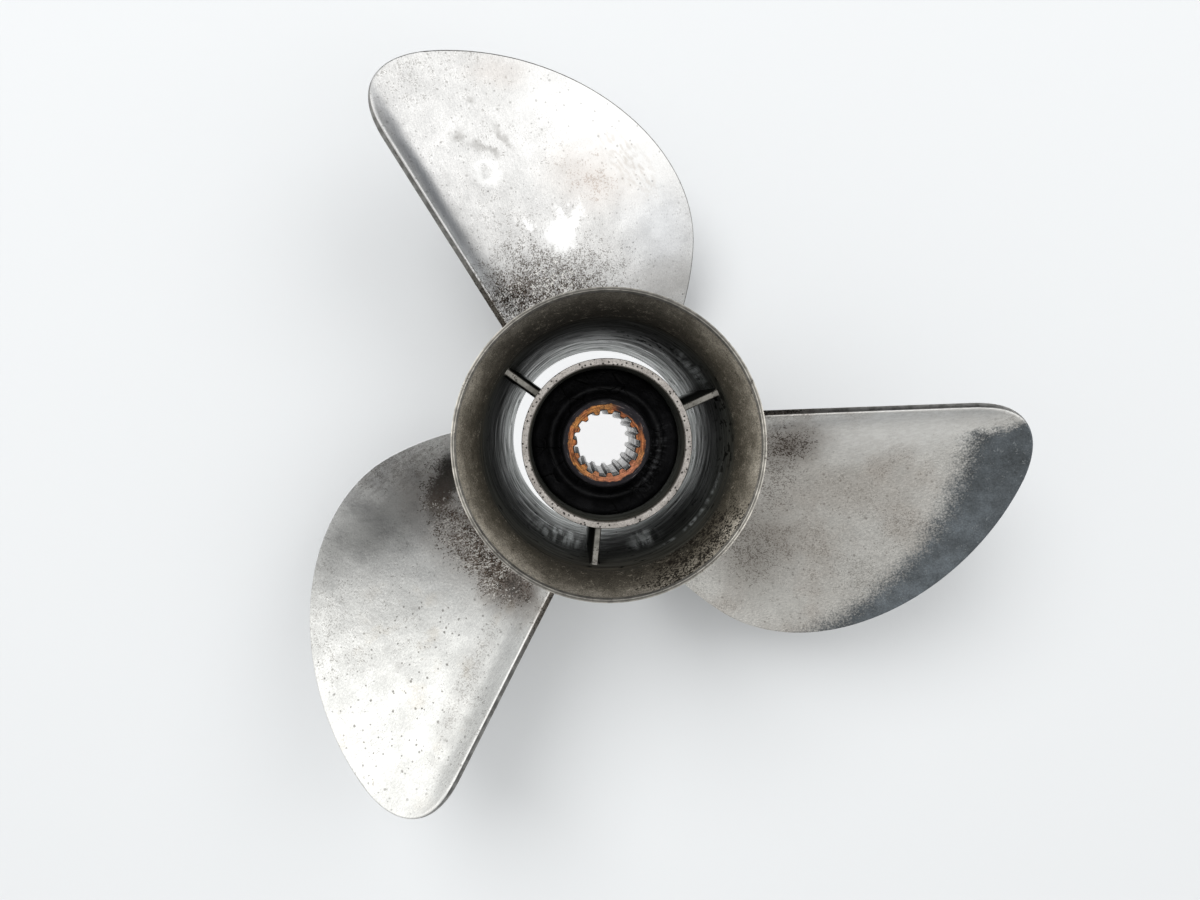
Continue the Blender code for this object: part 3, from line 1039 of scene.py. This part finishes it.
# %% The second blade's stains
BLADE_2_STAINS = (
    (((0.0960, -0.0400, 0.068), (0.024, 0.010, 0.060), -8, 0.8, 0.016), (0.20, (0.40, 0.32, 0.26)), None),
    (((0.0560, -0.0600, 0.045), (0.016, 0.020, 0.060), 0, 0.9, 0.014),
     (0.58, (0.25, 0.225, 0.20)), (0.85, 1500, 0.60, (0.11, 0.095, 0.08))),
    (((0.0680, -0.0230, 0.062), (0.014, 0.024, 0.060), 0, 0.9, 0.014),
     (0.22, (0.28, 0.25, 0.22)), (0.85, 1300, 0.60, (0.125, 0.105, 0.090))),
    (((0.0755, -0.0165, 0.067), (0.0115, 0.0072, 0.040), 0, 0.95, 0.008, 160),
     (0.66, (0.100, 0.074, 0.058)), (1.0, 1300, 0.70, (0.045, 0.034, 0.027))),
    (((0.0600, -0.0840, 0.040), (0.0120, 0.0070, 0.040), -30, 0.3, 0.008, 90),
     (0.22, (0.62, 0.62, 0.59)), None),
)


def blade_2_tip_reflection(colour):
    """A painted slate reflection over the tip, beyond a clean round, with a frayed border, a painted highlight
    along the leading edge, and small glints.
    """
    frayed = warped(0.004, 900.0, warped(0.009, 110.0))
    clean = patch(frayed, (0.0378, 0.0017, 0.060), (0.1070, 0.1070, 1.0), soft=0.12)
    above = patch(frayed, (0.1400, 0.0250, 0.090), (0.0900, 0.0500, 1.0), soft=0.10)
    painted_reflection_mask = minus(1.0, larger(clean, above))
    grains = times(minus(noise(1300.0, 4.0, roughness=0.7), 0.5), 1.3)
    painted_reflection_mask = spread(plus(painted_reflection_mask, grains), 0.22, 0.84)
    # The slate colour is a painted reflection, and a painted highlight lightens it along the leading edge.
    slate = mottled(PAINTED_SLATE_REFLECTION, noise(90.0, 6.0, roughness=0.7), 0.66, 1.36)
    slate = mottled(slate, noise(1500.0, 3.0), 0.80, 1.20)
    edge = patch(places(), (0.1180, -0.0830, 0.070), (0.040, 0.0090, 0.060), turn=47.0, soft=0.8)
    slate = mottled(slate, edge, 1.0, 1.55, 0.0, 1.0)
    colour = stain(colour, painted_reflection_mask, 0.95, slate)
    glints = larger(pits(330.0, 0.12, 0.20), specks(0.40, 1300.0))
    return stain(colour, times(glints, painted_reflection_mask), 0.50, (0.36, 0.38, 0.39))


def blade_2_colour():
    """Grey with brown tints, and bright and finely brushed near the leading edge."""
    colour = steel_clouds((0.70, 0.688, 0.658), (0.61, 0.595, 0.563), 9.0, 0.70)
    tinted = spread(noise(45.0, 5.0), 0.44, 0.68)
    colour = stain(colour, tinted, 0.24, (0.42, 0.35, 0.295))
    colour = speckled(colour, times(tinted, 0.75), 1300.0, 0.50, (0.20, 0.17, 0.145))
    colour = stain(colour, face_dots(), 0.50, (0.20, 0.18, 0.16))
    colour = mottled(colour, strokes(9.0, 0.020, 0.0006, 4.0), 0.90, 1.09, 0.36, 0.64)
    bright = spot((0.1180, -0.0165, 0.082), (0.036, 0.0100, 0.060), -1, 0.8)
    lines = spread(strokes(6.0, 0.030, 0.0010), 0.42, 0.66)
    colour = stain(colour, bright, 0.75, (0.84, 0.835, 0.815))
    colour = stain(colour, times(bright, lines), 0.45, (0.93, 0.93, 0.91))
    return blade_2_tip_reflection(lay_spots(colour, BLADE_2_STAINS))


# %% The third blade's stains
UPPER_DARKENING = ((-0.0880, 0.0060, 0.030), (0.032, 0.0140, 0.060), -8, 0.8, 0.020)
BLADE_3_DARKENING = (
    (((-0.0840, -0.0330, 0.050), (0.040, 0.030, 0.060), 24, 0.95, 0.020), (0.20, (0.38, 0.38, 0.36)), None),
    (((-0.1030, -0.0165, 0.043), (0.033, 0.0120, 0.060), 24, 0.95, 0.020), (0.66, (0.20, 0.20, 0.19)), None),
    (UPPER_DARKENING, (0.26, (0.37, 0.35, 0.32)), (0.85, 1500, 0.45, (0.20, 0.18, 0.16))),
)
BLADE_3_CORNER = (
    (((-0.0745, -0.0060, 0.033), (0.0095, 0.0150, 0.040), -28, 0.9, 0.014, 120),
     (0.14, (0.17, 0.15, 0.13)), (1.0, 1000, 0.85, (0.050, 0.045, 0.040))),
)
RUST_BAND = ((-0.0610, -0.0350, 0.052), (0.0135, 0.033, 0.060), 36, 0.9, 0.018)
BLADE_3_RUST = (
    (RUST_BAND, (0.50, (0.38, 0.32, 0.27)), (1.0, 1150, 0.92, (0.095, 0.072, 0.055))),
    (((-0.0570, -0.0400, 0.058), (0.0075, 0.023, 0.060), 36, 0.9, 0.012, 150),
     (0.60, (0.19, 0.142, 0.108)), (1.0, 950, 0.88, (0.055, 0.041, 0.031))),
    (((-0.0500, -0.0530, 0.065), (0.0095, 0.0070, 0.040), 0, 0.95, 0.010, 150),
     (0.75, (0.11, 0.080, 0.060)), (1.0, 950, 0.85, (0.045, 0.034, 0.026))),
    (RUST_BAND, None, (0.74, 1050, 0.88, (0.82, 0.79, 0.73))),
)
BLADE_3_WORN = (
    (((-0.0735, -0.0835, 0.076), (0.0050, 0.034, 0.060), -36.8, 0.9, 0.008),
     (0.42, (0.46, 0.455, 0.44)), (0.8, 1400, 0.50, (0.24, 0.22, 0.20))),
)


def blade_3_darkening(colour):
    """Darker grey over the upper part, with its darkest place beside the hub."""
    colour = lay_spots(colour, BLADE_3_DARKENING)
    streaky = spread(strokes(30.0, 0.020, 0.0016, 5.0), 0.46, 0.62)
    colour = stain(colour, times(spot(*UPPER_DARKENING), streaky), 0.35, (0.22, 0.20, 0.18))
    colour = lay_spots(colour, BLADE_3_CORNER)
    frayed = warped(0.006, 700.0, warped(0.010, 180.0))
    darkest_patch = patch(frayed, (-0.0728, -0.0045, 0.032), (0.0058, 0.0150, 0.040), turn=-28.0, soft=0.45)
    return stain(colour, darkest_patch, 0.95, (0.026, 0.025, 0.023))


def blade_3_colour():
    """A bright tip with grey spots and some yellow, under the darkened upper part and a band of rust along the
    hub.
    """
    colour = steel_clouds((0.84, 0.84, 0.815), (0.80, 0.80, 0.775), 52.0, 0.60)
    colour = lay_spots(blade_3_darkening(colour), BLADE_3_RUST)
    freckled = spot((-0.0960, -0.0800, 0.075), (0.036, 0.055, 0.060), -40, 0.6, 0.018)
    colour = stain(colour, times(freckled, face_dots()), 0.80, (0.16, 0.15, 0.135))
    grey = times(freckled, spread(pits(120.0, 0.30, 0.30), 0.0, 1.0))
    colour = stain(colour, grey, 0.25, (0.42, 0.41, 0.39))
    colour = lay_spots(colour, BLADE_3_WORN)
    yellow = times(freckled, spread(noise(75.0, 4.0), 0.56, 0.70))
    return stain(colour, yellow, 0.25, (0.52, 0.45, 0.35))


# %% The blunt edges
def blunt_colour():
    """Grey outboard, and brown with black specks where the trailing edge comes down to the hub."""
    inboard = spread(distance_from_axis(warped(0.010)), 0.104, 0.068)
    cloud = spread(noise(300.0, 4.0), 0.35, 0.65)
    colour = blend(cloud, (0.17, 0.165, 0.155), (0.30, 0.295, 0.28))
    colour = stain(colour, inboard, 0.80, (0.085, 0.070, 0.055))
    colour = speckled(colour, plus(times(inboard, 0.55), 0.30), 1100.0, 0.8, SOOT)
    return speckled(colour, 0.45, 900.0, 0.5, (0.40, 0.38, 0.35))


blunt_steel = finish("blunt_edge_steel", blunt_colour, steel_roughness, 1.0, steel_height, 0.0002)
for blade, colour in zip(blades, (blade_1_colour, blade_2_colour, blade_3_colour)):
    name = blade.name.replace("cast", "steel")
    blade.data.materials[0] = finish(name, colour, steel_roughness, 1.0, steel_height, 0.0003)
    blade.data.materials[1] = blunt_steel
print("Blade materials:", [material.name for blade in blades for material in blade.data.materials])

# %% [markdown]
# The hub has four finishes, side by side on one piece: the outside like the blades, a grey turned lip with
# painted highlights on its edges, the brown matt flare with painted shade at its top and bottom, and the sooty
# bore, which is cleaner the deeper it goes. Flare and bore share one colour ramp over the height, so that no
# hard line shows where one finish hands over to the other.

# %% Colours of the hub
INSIDE_STOPS = (
    (0.00, (0.300, 0.312, 0.302)),
    (0.12, (0.210, 0.220, 0.212)),
    (0.22, (0.120, 0.127, 0.121)),
    (0.34, (0.075, 0.080, 0.075)),
    (0.50, (0.050, 0.053, 0.049)),
    (0.70, (0.040, 0.041, 0.036)),
    (0.80, (0.036, 0.035, 0.029)),
    (0.88, (0.060, 0.053, 0.040)),
    (0.94, (0.140, 0.125, 0.099)),
    (0.98, (0.300, 0.273, 0.225)),
    (1.00, (0.400, 0.368, 0.312)),
)
# Painted shade over the top and the bottom of the flare.
INSIDE_PAINTED_SHADE = (
    (((0.0010, 0.0540, 0.106), (0.050, 0.026, 0.040), -4, 0.6), (0.72, (0.020, 0.0185, 0.016)), None),
    (((-0.0140, -0.0530, 0.106), (0.036, 0.018, 0.040), -15, 0.7), (0.60, (0.030, 0.027, 0.022)), None),
)
BARE_STOPS = (
    (0.00, 0.80), (0.12, 0.66), (0.19, 0.52), (0.26, 0.38), (0.33, 0.25),
    (0.42, 0.145), (0.52, 0.085), (0.64, 0.045), (0.80, 0.024), (1.00, 0.015),
)
LIP_GREY_AND_HIGHLIGHT_STOPS = (
    (0.00, 0.30), (0.15, 0.15), (0.28, 0.16), (0.36, 0.62),
    (0.46, 0.20), (0.62, 0.22), (0.74, 0.66), (1.00, 0.50),
)
BLACK_MARKS = (
    ((0.0478, -0.0013, 0.078), (0.014, 0.028, 0.018), 1.0),
    ((0.0300, 0.0362, 0.052), (0.016, 0.013, 0.014), 1.0),
)
PALE_SMEARS = (
    ((-0.0279, -0.0377, 0.041), (0.013, 0.012, 0.014), 1.0),
    ((0.0090, -0.0462, 0.046), (0.006, 0.006, 0.014), 0.9),
    ((0.0417, 0.0226, 0.064), (0.008, 0.009, 0.010), 0.7),
    ((0.0345, -0.0400, 0.074), (0.017, 0.016, 0.0030), 0.8),
)
print("Colour stops along the hub's inside:", len(INSIDE_STOPS))


# %% The outside, the flare and the lip
def share_of_length(uneven):
    """Height as a share of the hub's length, with an uneven border between clean and sooty."""
    return plus(reckon("DIVIDE", rise(), HUB_LENGTH), uneven)


def inside_colour(uneven):
    return lay_spots(ramp(share_of_length(uneven), INSIDE_STOPS), INSIDE_PAINTED_SHADE)


def hub_outside():
    return steel_clouds((0.66, 0.65, 0.63), (0.50, 0.49, 0.48), 0.0)


def flare_colour():
    colour = inside_colour(spread(noise(70.0, 6.0, roughness=0.7), 0.3, 0.7, -0.026, 0.022))
    colour = mottled(colour, noise(1700.0, 3.0, roughness=0.7), 0.66, 1.34, 0.35, 0.65)
    colour = speckled(colour, 0.46, 1400.0, 0.45, (0.36, 0.325, 0.265))
    colour = speckled(colour, 0.42, 1100.0, 0.75, (0.024, 0.019, 0.014))
    heavy = spot((0.0250, -0.0475, 0.108), (0.029, 0.018, 0.030), 28, 0.8, 0.010)
    return speckled(colour, heavy, 950.0, 0.95, (0.010, 0.008, 0.006))


def flare_roughness():
    return spread(noise(200.0, 4.0), 0.3, 0.7, 0.50, 0.66)


def lip_colour():
    """Two thin painted highlights, on the inner step and on the outer edge, with a grey band between them, and
    painted shade at the top and the bottom of the rim.
    """
    share = reckon("DIVIDE", minus(distance_from_axis(), RIM_RADIUS - 0.0021), 0.0025)
    colour = grey_ramp(share, LIP_GREY_AND_HIGHLIGHT_STOPS, (1.0, 0.95, 0.85))
    colour = mottled(colour, noise(300.0, 5.0), 0.70, 1.20, 0.35, 0.65)
    # Painted shade darkens the rim at the top and the bottom.
    shade = spot((0.0, 0.0, HUB_LENGTH), (0.0660, 0.0480, 0.020), -20, 0.2, 0.010)
    colour = mottled(colour, shade, 0.45, 1.0, 0.0, 1.0)
    return speckled(colour, 0.45, 1300.0, 0.8, (0.05, 0.042, 0.034))


def fine_height():
    grain = spread(noise(1300.0, 3.0), 0.2, 0.8)
    return minus(grain, pits(420.0, 0.20, 0.30))


outside_steel = finish("hub_outside_steel", hub_outside, steel_roughness, 1.0, steel_height, 0.0003)
lip_steel = finish("turned_lip_steel", lip_colour, flare_roughness, 0.45, fine_height, 0.0001)
flare_steel = finish(
    "brown_flare_steel", flare_colour, flare_roughness, 0.15, fine_height, 0.0002, shine=0.15
)
print("Finishes:", outside_steel.name, lip_steel.name, flare_steel.name)


# %% The sooty bore
def bore_borders():
    return spread(round_streaks(1.7, 240.0), 0.25, 0.75, -0.07, 0.07)


def bore_marks():
    """Black marks of dirt at the right of the bore."""
    drawn = spread(round_streaks(15.0, 150.0, 5.0), 0.55, 0.60)
    return times(drawn, strongest(BLACK_MARKS, 0.5))


def bore_smears():
    """Pale smears beside the ribs, drawn out along the shaft."""
    drawn = spread(round_streaks(17.0, 34.0, 6.0), 0.40, 0.64)
    return times(drawn, strongest(PALE_SMEARS, 0.7))


def bore_colour():
    colour = mottled(inside_colour(bore_borders()), round_streaks(2.4, 620.0), 0.55, 1.50)
    dirt = spread(round_streaks(8.0, 190.0, 5.0), 0.62, 0.66)
    colour = stain(colour, bore_smears(), 0.80, (0.42, 0.45, 0.44))
    return stain(colour, larger(dirt, bore_marks()), 0.92, (0.006, 0.006, 0.005))


def bore_bare_metal():
    """How much metal shows through the soot: most of it deep down, and in bright smears beside the ribs."""
    bare = grey_ramp(share_of_length(bore_borders()), BARE_STOPS)
    bare = times(bare, spread(round_streaks(3.0, 420.0, 5.0), 0.34, 0.66, 0.35, 1.55))
    top = patch(places(), (0.0020, 0.0465, 0.036), (0.036, 0.022, 0.026), soft=0.7)
    low = patch(places(), (0.0150, -0.0440, 0.050), (0.026, 0.019, 0.044), turn=18.0, soft=0.7)
    bare = times(bare, spread(top, 0.0, 1.0, 1.0, 1.65))
    bare = times(bare, spread(low, 0.0, 1.0, 1.0, 0.30))
    bare = plus(bare, times(bore_smears(), 0.5))
    return times(bare, minus(1.0, bore_marks()))


def bore_roughness():
    return spread(round_streaks(2.0, 500.0), 0.3, 0.7, 0.24, 0.44)


def bore_height():
    return round_streaks(3.0, 900.0)


bore_steel = finish(
    "sooty_bore_steel", bore_colour, bore_roughness, bore_bare_metal, bore_height, 0.0001, 0.3, 0.0
)
print("Finish:", bore_steel.name)


# %% Give the hub its finishes
def points_in(face):
    place = face.calc_center_median()
    return face.normal.x * place.x + face.normal.y * place.y < 0.0


def in_lip(face, number):
    return face.calc_center_median().z > HUB_LENGTH - LIP_DEPTH * 0.9


def in_flare(face, number):
    return face.calc_center_median().z > FLARE_START and not in_lip(face, number) and points_in(face)


def in_barrel(face, number):
    return face.calc_center_median().z <= FLARE_START and points_in(face)


paint(outer_hub, outside_steel, lip_steel, flare_steel, bore_steel)
counts = [give_faces(outer_hub, slot, test) for slot, test in ((1, in_lip), (2, in_flare), (3, in_barrel))]
print("Faces of lip, flare and bore:", counts)

# %% Finishes of the inner hub and the ribs
def end_face_colour():
    cloud = spread(noise(160.0, 5.0), 0.3, 0.7)
    colour = blend(cloud, (0.40, 0.370, 0.345), (0.52, 0.490, 0.460))
    colour = mottled(colour, noise(1500.0, 2.0), 0.82, 1.12)
    colour = stain(colour, pits(1300.0, 0.30, 0.30, "2D"), 0.70, (0.07, 0.055, 0.045))
    colour = stain(colour, pits(560.0, 0.30, 0.46, "2D"), 0.96, (0.014, 0.011, 0.009))
    rim = spread(distance_from_axis(), TUBE_INNER + 0.0008, TUBE_INNER + 0.0004)
    return stain(colour, rim, 0.85, (0.030, 0.026, 0.022))


def rib_rear():
    """1 on the rear edge of a rib, 0 on its flanks."""
    return spread(rise(), RIB_REAR - 0.0006, RIB_REAR - 0.0003)


def rib_across():
    """Distance from the middle plane of the nearest rib."""
    nearest = 1.0
    for degrees in RIB_ANGLES:
        side = (-math.sin(math.radians(degrees)), math.cos(math.radians(degrees)), 0.0)
        away = reckon("ABSOLUTE", vectors("DOT_PRODUCT", places(), side))
        nearest = reckon("MINIMUM", nearest, away)
    return nearest


def rib_colour():
    """The flanks carry the bore's soot, with painted shade up high and painted light from the table towards
    the front. The rear edge is pale, with a dark outline.
    """
    cloud = spread(noise(260.0, 5.0), 0.3, 0.7)
    top = blend(cloud, (0.135, 0.130, 0.116), (0.25, 0.242, 0.220))
    outer_end = spread(distance_from_axis(), 0.0400, 0.0460)
    top = stain(top, outer_end, 0.50, (0.48, 0.46, 0.42))
    top = speckled(top, 0.55, 1100.0, 0.8, (0.05, 0.045, 0.04))
    outline = spread(rib_across(), RIB_REAR_THICKNESS / 2 - 0.0005, RIB_REAR_THICKNESS / 2 - 0.0002)
    top = stain(top, outline, 0.85, (0.03, 0.028, 0.024))
    # Painted shade darkens the flanks up high, and painted light from the table lightens them towards the
    # front.
    flank = mottled(inside_colour(bore_borders()), rise(), 0.30, 1.40, 0.044, 0.014)
    return blend(rib_rear(), flank, top)


def rib_bare_metal():
    """Bare on the rear edge, and low on the flanks, near the table."""
    low = spread(rise(), 0.046, 0.014, 0.0, 0.8)
    return larger(low, times(rib_rear(), 0.8))


def is_end_face(face, number):
    return face.calc_center_median().z > TUBE_REAR - 0.0001


end_face_steel = finish("pitted_end_face_steel", end_face_colour, flare_roughness, 0.8, fine_height, 0.0002)
rib_steel = finish(
    "cast_rib_steel", rib_colour, steel_roughness, rib_bare_metal, fine_height, 0.0002, shine=0.0
)
paint(inner_hub, bore_steel, end_face_steel)
print("End face faces:", give_faces(inner_hub, 1, is_end_face))
for rib in ribs:
    paint(rib, rib_steel)


# %% [markdown]
# Old rubber is black and dull, with cracks, and with a painted grey highlight at the right of the raised ring.
# The cracks are the borders of stretched Voronoi cells, so they run mostly across the ring, as they do where
# rubber is worked round and round.

# %% The rubber's finish
def crack_lines():
    flat = vectors("MULTIPLY", warped(0.004, 120.0), ACROSS_SHAFT)
    cells = add_node("TexVoronoi", {"Vector": flat, "Scale": 130.0}, feature="DISTANCE_TO_EDGE")
    thin = spread(cells.outputs["Distance"], 0.05, 0.0)
    return times(thin, spread(noise(60.0, 2.0), 0.48, 0.60))


def rubber_painted_highlight():
    """A painted grey highlight at the right of the raised ring, in short broken lines."""
    there = spot((0.0182, -0.0100, 0.073), (0.0036, 0.0125, 0.008), -29, 0.8, 0.003, 200.0)
    lines = spread(round_streaks(30.0, 120.0, 5.0), 0.40, 0.66)
    broken = spread(noise(620.0, 5.0), 0.38, 0.58)
    return times(there, times(lines, broken))


def rubber_colour():
    cloud = spread(noise(150.0, 5.0), 0.3, 0.75)
    colour = blend(cloud, (0.0030, 0.0030, 0.0033), (0.0090, 0.0090, 0.0098))
    # A painted grey highlight on the raised ring.
    colour = stain(colour, rubber_painted_highlight(), 0.85, (0.075, 0.076, 0.080))
    return blend(crack_lines(), colour, (0.001, 0.001, 0.001))


def rubber_roughness():
    return spread(noise(110.0, 4.0), 0.3, 0.7, 0.36, 0.56)


def rubber_height():
    rough = spread(noise(500.0, 4.0), 0.2, 0.8, 0.3, 0.7)
    return minus(rough, times(crack_lines(), 0.6))


rubber = finish(
    "old_black_rubber", rubber_colour, rubber_roughness, 0.0, rubber_height, 0.0005, 0.8, shine=0.12
)
paint(rubber_bush_piece, rubber)
print("Rubber:", rubber.name)

# %% [markdown]
# The sleeve is bronze. Its end face is tarnished from gold through orange to salmon, and towards the rim
# a dark skin of rubber still sticks to it, with a ragged border. The teeth were wiped bright by the shaft.
# The chamfers round the teeth's ends and the flanks that face clockwise get painted shade.

# %% The sleeve's finishes
TOOTH_STOPS = (
    (0.00, 0.80), (0.09, 0.66), (0.16, 0.10), (0.26, 0.12), (0.36, 0.48), (0.60, 0.30), (1.00, 0.52),
)
TOOTH_DEPTH = 0.060


def ragged_distance(wobble, scale, start, end):
    """0 near the axis and 1 farther out, with a ragged border between the two distances."""
    return spread(distance_from_axis(warped(wobble, scale)), start, end)


def bronze_colour():
    rings = spread(rings_round_axis(2.2, 1500.0), 0.36, 0.64)
    colour = blend(rings, (0.110, 0.031, 0.013), (0.46, 0.168, 0.060))
    wide = spread(noise(110.0, 4.0), 0.46, 0.60)
    colour = stain(colour, wide, 0.45, (0.42, 0.215, 0.052))
    salmon = spot((0.003, -0.013, 0.086), (0.013, 0.006, 0.01), 0, 0.6, 0.004, 200.0)
    colour = stain(colour, salmon, 0.75, (0.40, 0.155, 0.090))
    colour = mottled(colour, rings_round_axis(5.0, 3200.0, 3.0), 0.58, 1.34, 0.34, 0.66)
    colour = speckled(colour, 0.72, 1700.0, 0.65, (0.07, 0.033, 0.020))
    thicker = patch(places(), (0.0105, 0.0085, 0.086), (0.008, 0.007, 0.01), soft=0.5)
    closer = times(ragged_distance(0.0020, 260.0, 0.0137, 0.0142), thicker)
    skin = larger(ragged_distance(0.0026, 300.0, 0.0151, 0.0156), closer)
    scratched = spread(rings_round_axis(3.0, 2600.0), 0.60, 0.68)
    black = blend(scratched, (0.013, 0.0115, 0.014), (0.13, 0.115, 0.115))
    return blend(skin, colour, black)


def bronze_roughness():
    return spread(noise(300.0, 4.0), 0.3, 0.7, 0.36, 0.58)


def tooth_colour():
    """Wiped bright behind the end face, then dirty, and grey with dark marks farther in."""
    depth = reckon("DIVIDE", minus(SLEEVE_REAR, rise()), TOOTH_DEPTH)
    ragged = plus(depth, spread(noise(260.0, 4.0), 0.3, 0.7, -0.05, 0.05))
    colour = grey_ramp(ragged, TOOTH_STOPS, (1.0, 1.0, 0.97))
    return mottled(colour, noise(520.0, 5.0), 0.16, 1.20, 0.38, 0.60)


# Painted shade, with a few lighter marks, for the chamfers and the flanks that face clockwise.
def painted_shade_colour():
    marks = spread(noise(700.0, 4.0), 0.42, 0.62)
    return blend(marks, (0.008, 0.007, 0.006), (0.050, 0.047, 0.043))


def bronze_height():
    return noise(900.0, 4.0)


bronze = finish("tarnished_bronze", bronze_colour, bronze_roughness, 0.75, bronze_height, 0.0003, 0.5)
wiped = finish("wiped_teeth", tooth_colour, bore_roughness, 1.0, bronze_height, 0.0001, 0.3)
painted_shade_finish = finish("painted_shade_corners", painted_shade_colour, bronze_roughness, 0.6, bronze_height, 0.0001, 0.3)
paint(sleeve, bronze, wiped, painted_shade_finish)
print("Sleeve materials:", [material.name for material in sleeve.data.materials])


# %% Give the sleeve its finishes
def in_bore(place):
    return math.hypot(place.x, place.y) < 0.0140


def is_wiped(face, number):
    place = face.calc_center_median()
    return place.z < SLEEVE_REAR - 0.0003 and in_bore(place)


def gets_painted_shade(face, number):
    """The chamfer round the teeth's ends, and the flanks that face clockwise, which get painted shade."""
    place, normal = face.calc_center_median(), face.normal
    across = (normal.y * place.x - normal.x * place.y) / math.hypot(place.x, place.y)
    chamfer = place.z > SLEEVE_REAR - 0.0006 and 0.15 < normal.z < 0.95
    return in_bore(place) and (chamfer or across < -0.5)


print("Wiped and grimy faces:", give_faces(sleeve, 1, is_wiped), give_faces(sleeve, 2, gets_painted_shade))


# %% [markdown]
# Each piece now says which solids it stands for. The solids stay in the physics and are only hidden here.

# %% Set the pieces in the frame
stand_for(outer_hub, "casting", "hub_barrel", "exhaust_flare")
stand_for(inner_hub, "casting", "inner_hub_tube")
for i, rib in enumerate(ribs, start=1):
    stand_for(rib, "casting", f"rib_{i}")
for i, blade in enumerate(blades, start=1):
    stand_for(blade, "casting", f"blade_{i}")
stand_for(rubber_bush_piece, "bush", "rubber_bush")
stand_for(sleeve, "sleeve", "splined_sleeve")

# %% [markdown]
# The table is a plain pale floor. Little light would get down through the hub, yet the photographed table is
# bright there, so the floor glows softly in a small round under the hub.

# %% The floor
FLOOR_SIZE = 6.0
FLOOR_COLOUR = (0.62, 0.632, 0.642, 1.0)
GLOW_COLOUR = (0.98, 0.99, 1.0, 1.0)
GLOW_BORDER = (0.0435, 0.0425)
GLOW_STRENGTH = 0.86
clear_selection()
bpy.ops.mesh.primitive_plane_add(size=FLOOR_SIZE)
floor = named("table_floor")
pale = bpy.data.materials.new("pale_table")
pale.use_nodes = True
open_trees.append(pale.node_tree)
shader = pale.node_tree.nodes["Principled BSDF"]
glow = times(spread(distance_from_axis(), *GLOW_BORDER), GLOW_STRENGTH)
for socket, value in (
    ("Base Color", FLOOR_COLOUR), ("Roughness", 0.6), ("Specular IOR Level", 0.2),
    ("Emission Color", GLOW_COLOUR), ("Emission Strength", glow),
):
    plug(shader.inputs[socket], value)
paint(floor, pale)
print("Floor size in m:", FLOOR_SIZE)

# %% [markdown]
# The studio is a bright room. A large soft lamp stands at the upper left and a weaker one at the right. They
# are hidden from reflections, and only a small lamp at the upper left shows in the metal. The room glows as
# well, brightest overhead and at the right, and darkest beyond the top of the picture. Polished metal mostly
# shows its surroundings, so these bright and dark places matter as much as the lamps.

# %% The room's light
WALLS = (0.36, 0.37, 0.38)
BACKDROP = (0.82, 0.84, 0.86)
LOBES = (
    (0.0, 90.0, 22.0, 62.0, (1.22, 1.24, 1.25)),
    (-12.0, 48.0, 14.0, 38.0, (1.50, 1.50, 1.49)),
    (185.0, 25.0, 14.0, 40.0, (1.00, 1.00, 0.99)),
    (128.0, 67.0, 8.0, 30.0, (1.40, 1.40, 1.38)),
    (82.0, 42.0, 12.0, 30.0, (0.22, 0.22, 0.23)),
    (72.0, 6.0, 22.0, 48.0, (0.10, 0.10, 0.105)),
    (-118.0, 38.0, 24.0, 42.0, (0.58, 0.58, 0.57)),
    (0.0, 90.0, 6.0, 18.0, (0.80, 0.79, 0.77)),
)


def towards(around, above):
    """A direction as the photo shows it: degrees counterclockwise from the right, and above the table."""
    flat = math.cos(math.radians(above))
    right = flat * math.cos(math.radians(around))
    up = flat * math.sin(math.radians(around))
    return PHOTO_RIGHT * right + PHOTO_UP * up + PHOTO_BACK * math.sin(math.radians(above))


def lobe(direction, inner, outer):
    """1 within the inner angle of a direction, fading to 0 at the outer angle."""
    dot = vectors("DOT_PRODUCT", add_node("TexCoord").outputs["Generated"], tuple(direction))
    return spread(dot, math.cos(math.radians(outer)), math.cos(math.radians(inner)))


room = bpy.data.worlds.new("bright_room")
bpy.context.scene.world = room
room.use_nodes = True
open_trees.append(room.node_tree)
glow = WALLS
for around, above, inner, outer, colour in LOBES:
    glow = blend(lobe(towards(around, above), inner, outer), glow, colour)
glow = blend(add_node("LightPath").outputs["Is Camera Ray"], glow, BACKDROP)
plug(room.node_tree.nodes["Background"].inputs["Color"], glow)
print("Room:", room.name, "with", len(LOBES), "bright and dark places")

# %% The lamps
# Each row: name, direction as in the room's light, distance, size, power, and whether it shows in the metal.
LAMPS = (
    ("key_lamp", 122.0, 56.0, 3.2, 2.0, 60.0, False),
    ("right_hand_lamp", 35.0, 50.0, 2.4, 1.4, 12.0, False),
    ("upper_left_lamp", 128.0, 66.0, 1.6, 0.8, 1.0, True),
)
for name, around, above, distance, size, power, shows in LAMPS:
    data = bpy.data.lights.new(name, "AREA")
    data.shape = "DISK"
    data.size = size
    data.energy = power
    lamp = bpy.data.objects.new(name, data)
    bpy.context.scene.collection.objects.link(lamp)
    lamp.location = towards(around, above) * distance
    lamp.rotation_mode = "QUATERNION"
    lamp.rotation_quaternion = towards(around, above).to_track_quat("Z", "Y")
    lamp.visible_glossy = shows
bpy.context.scene.view_settings.view_transform = "Standard"
print("Lamps:", len(LAMPS))
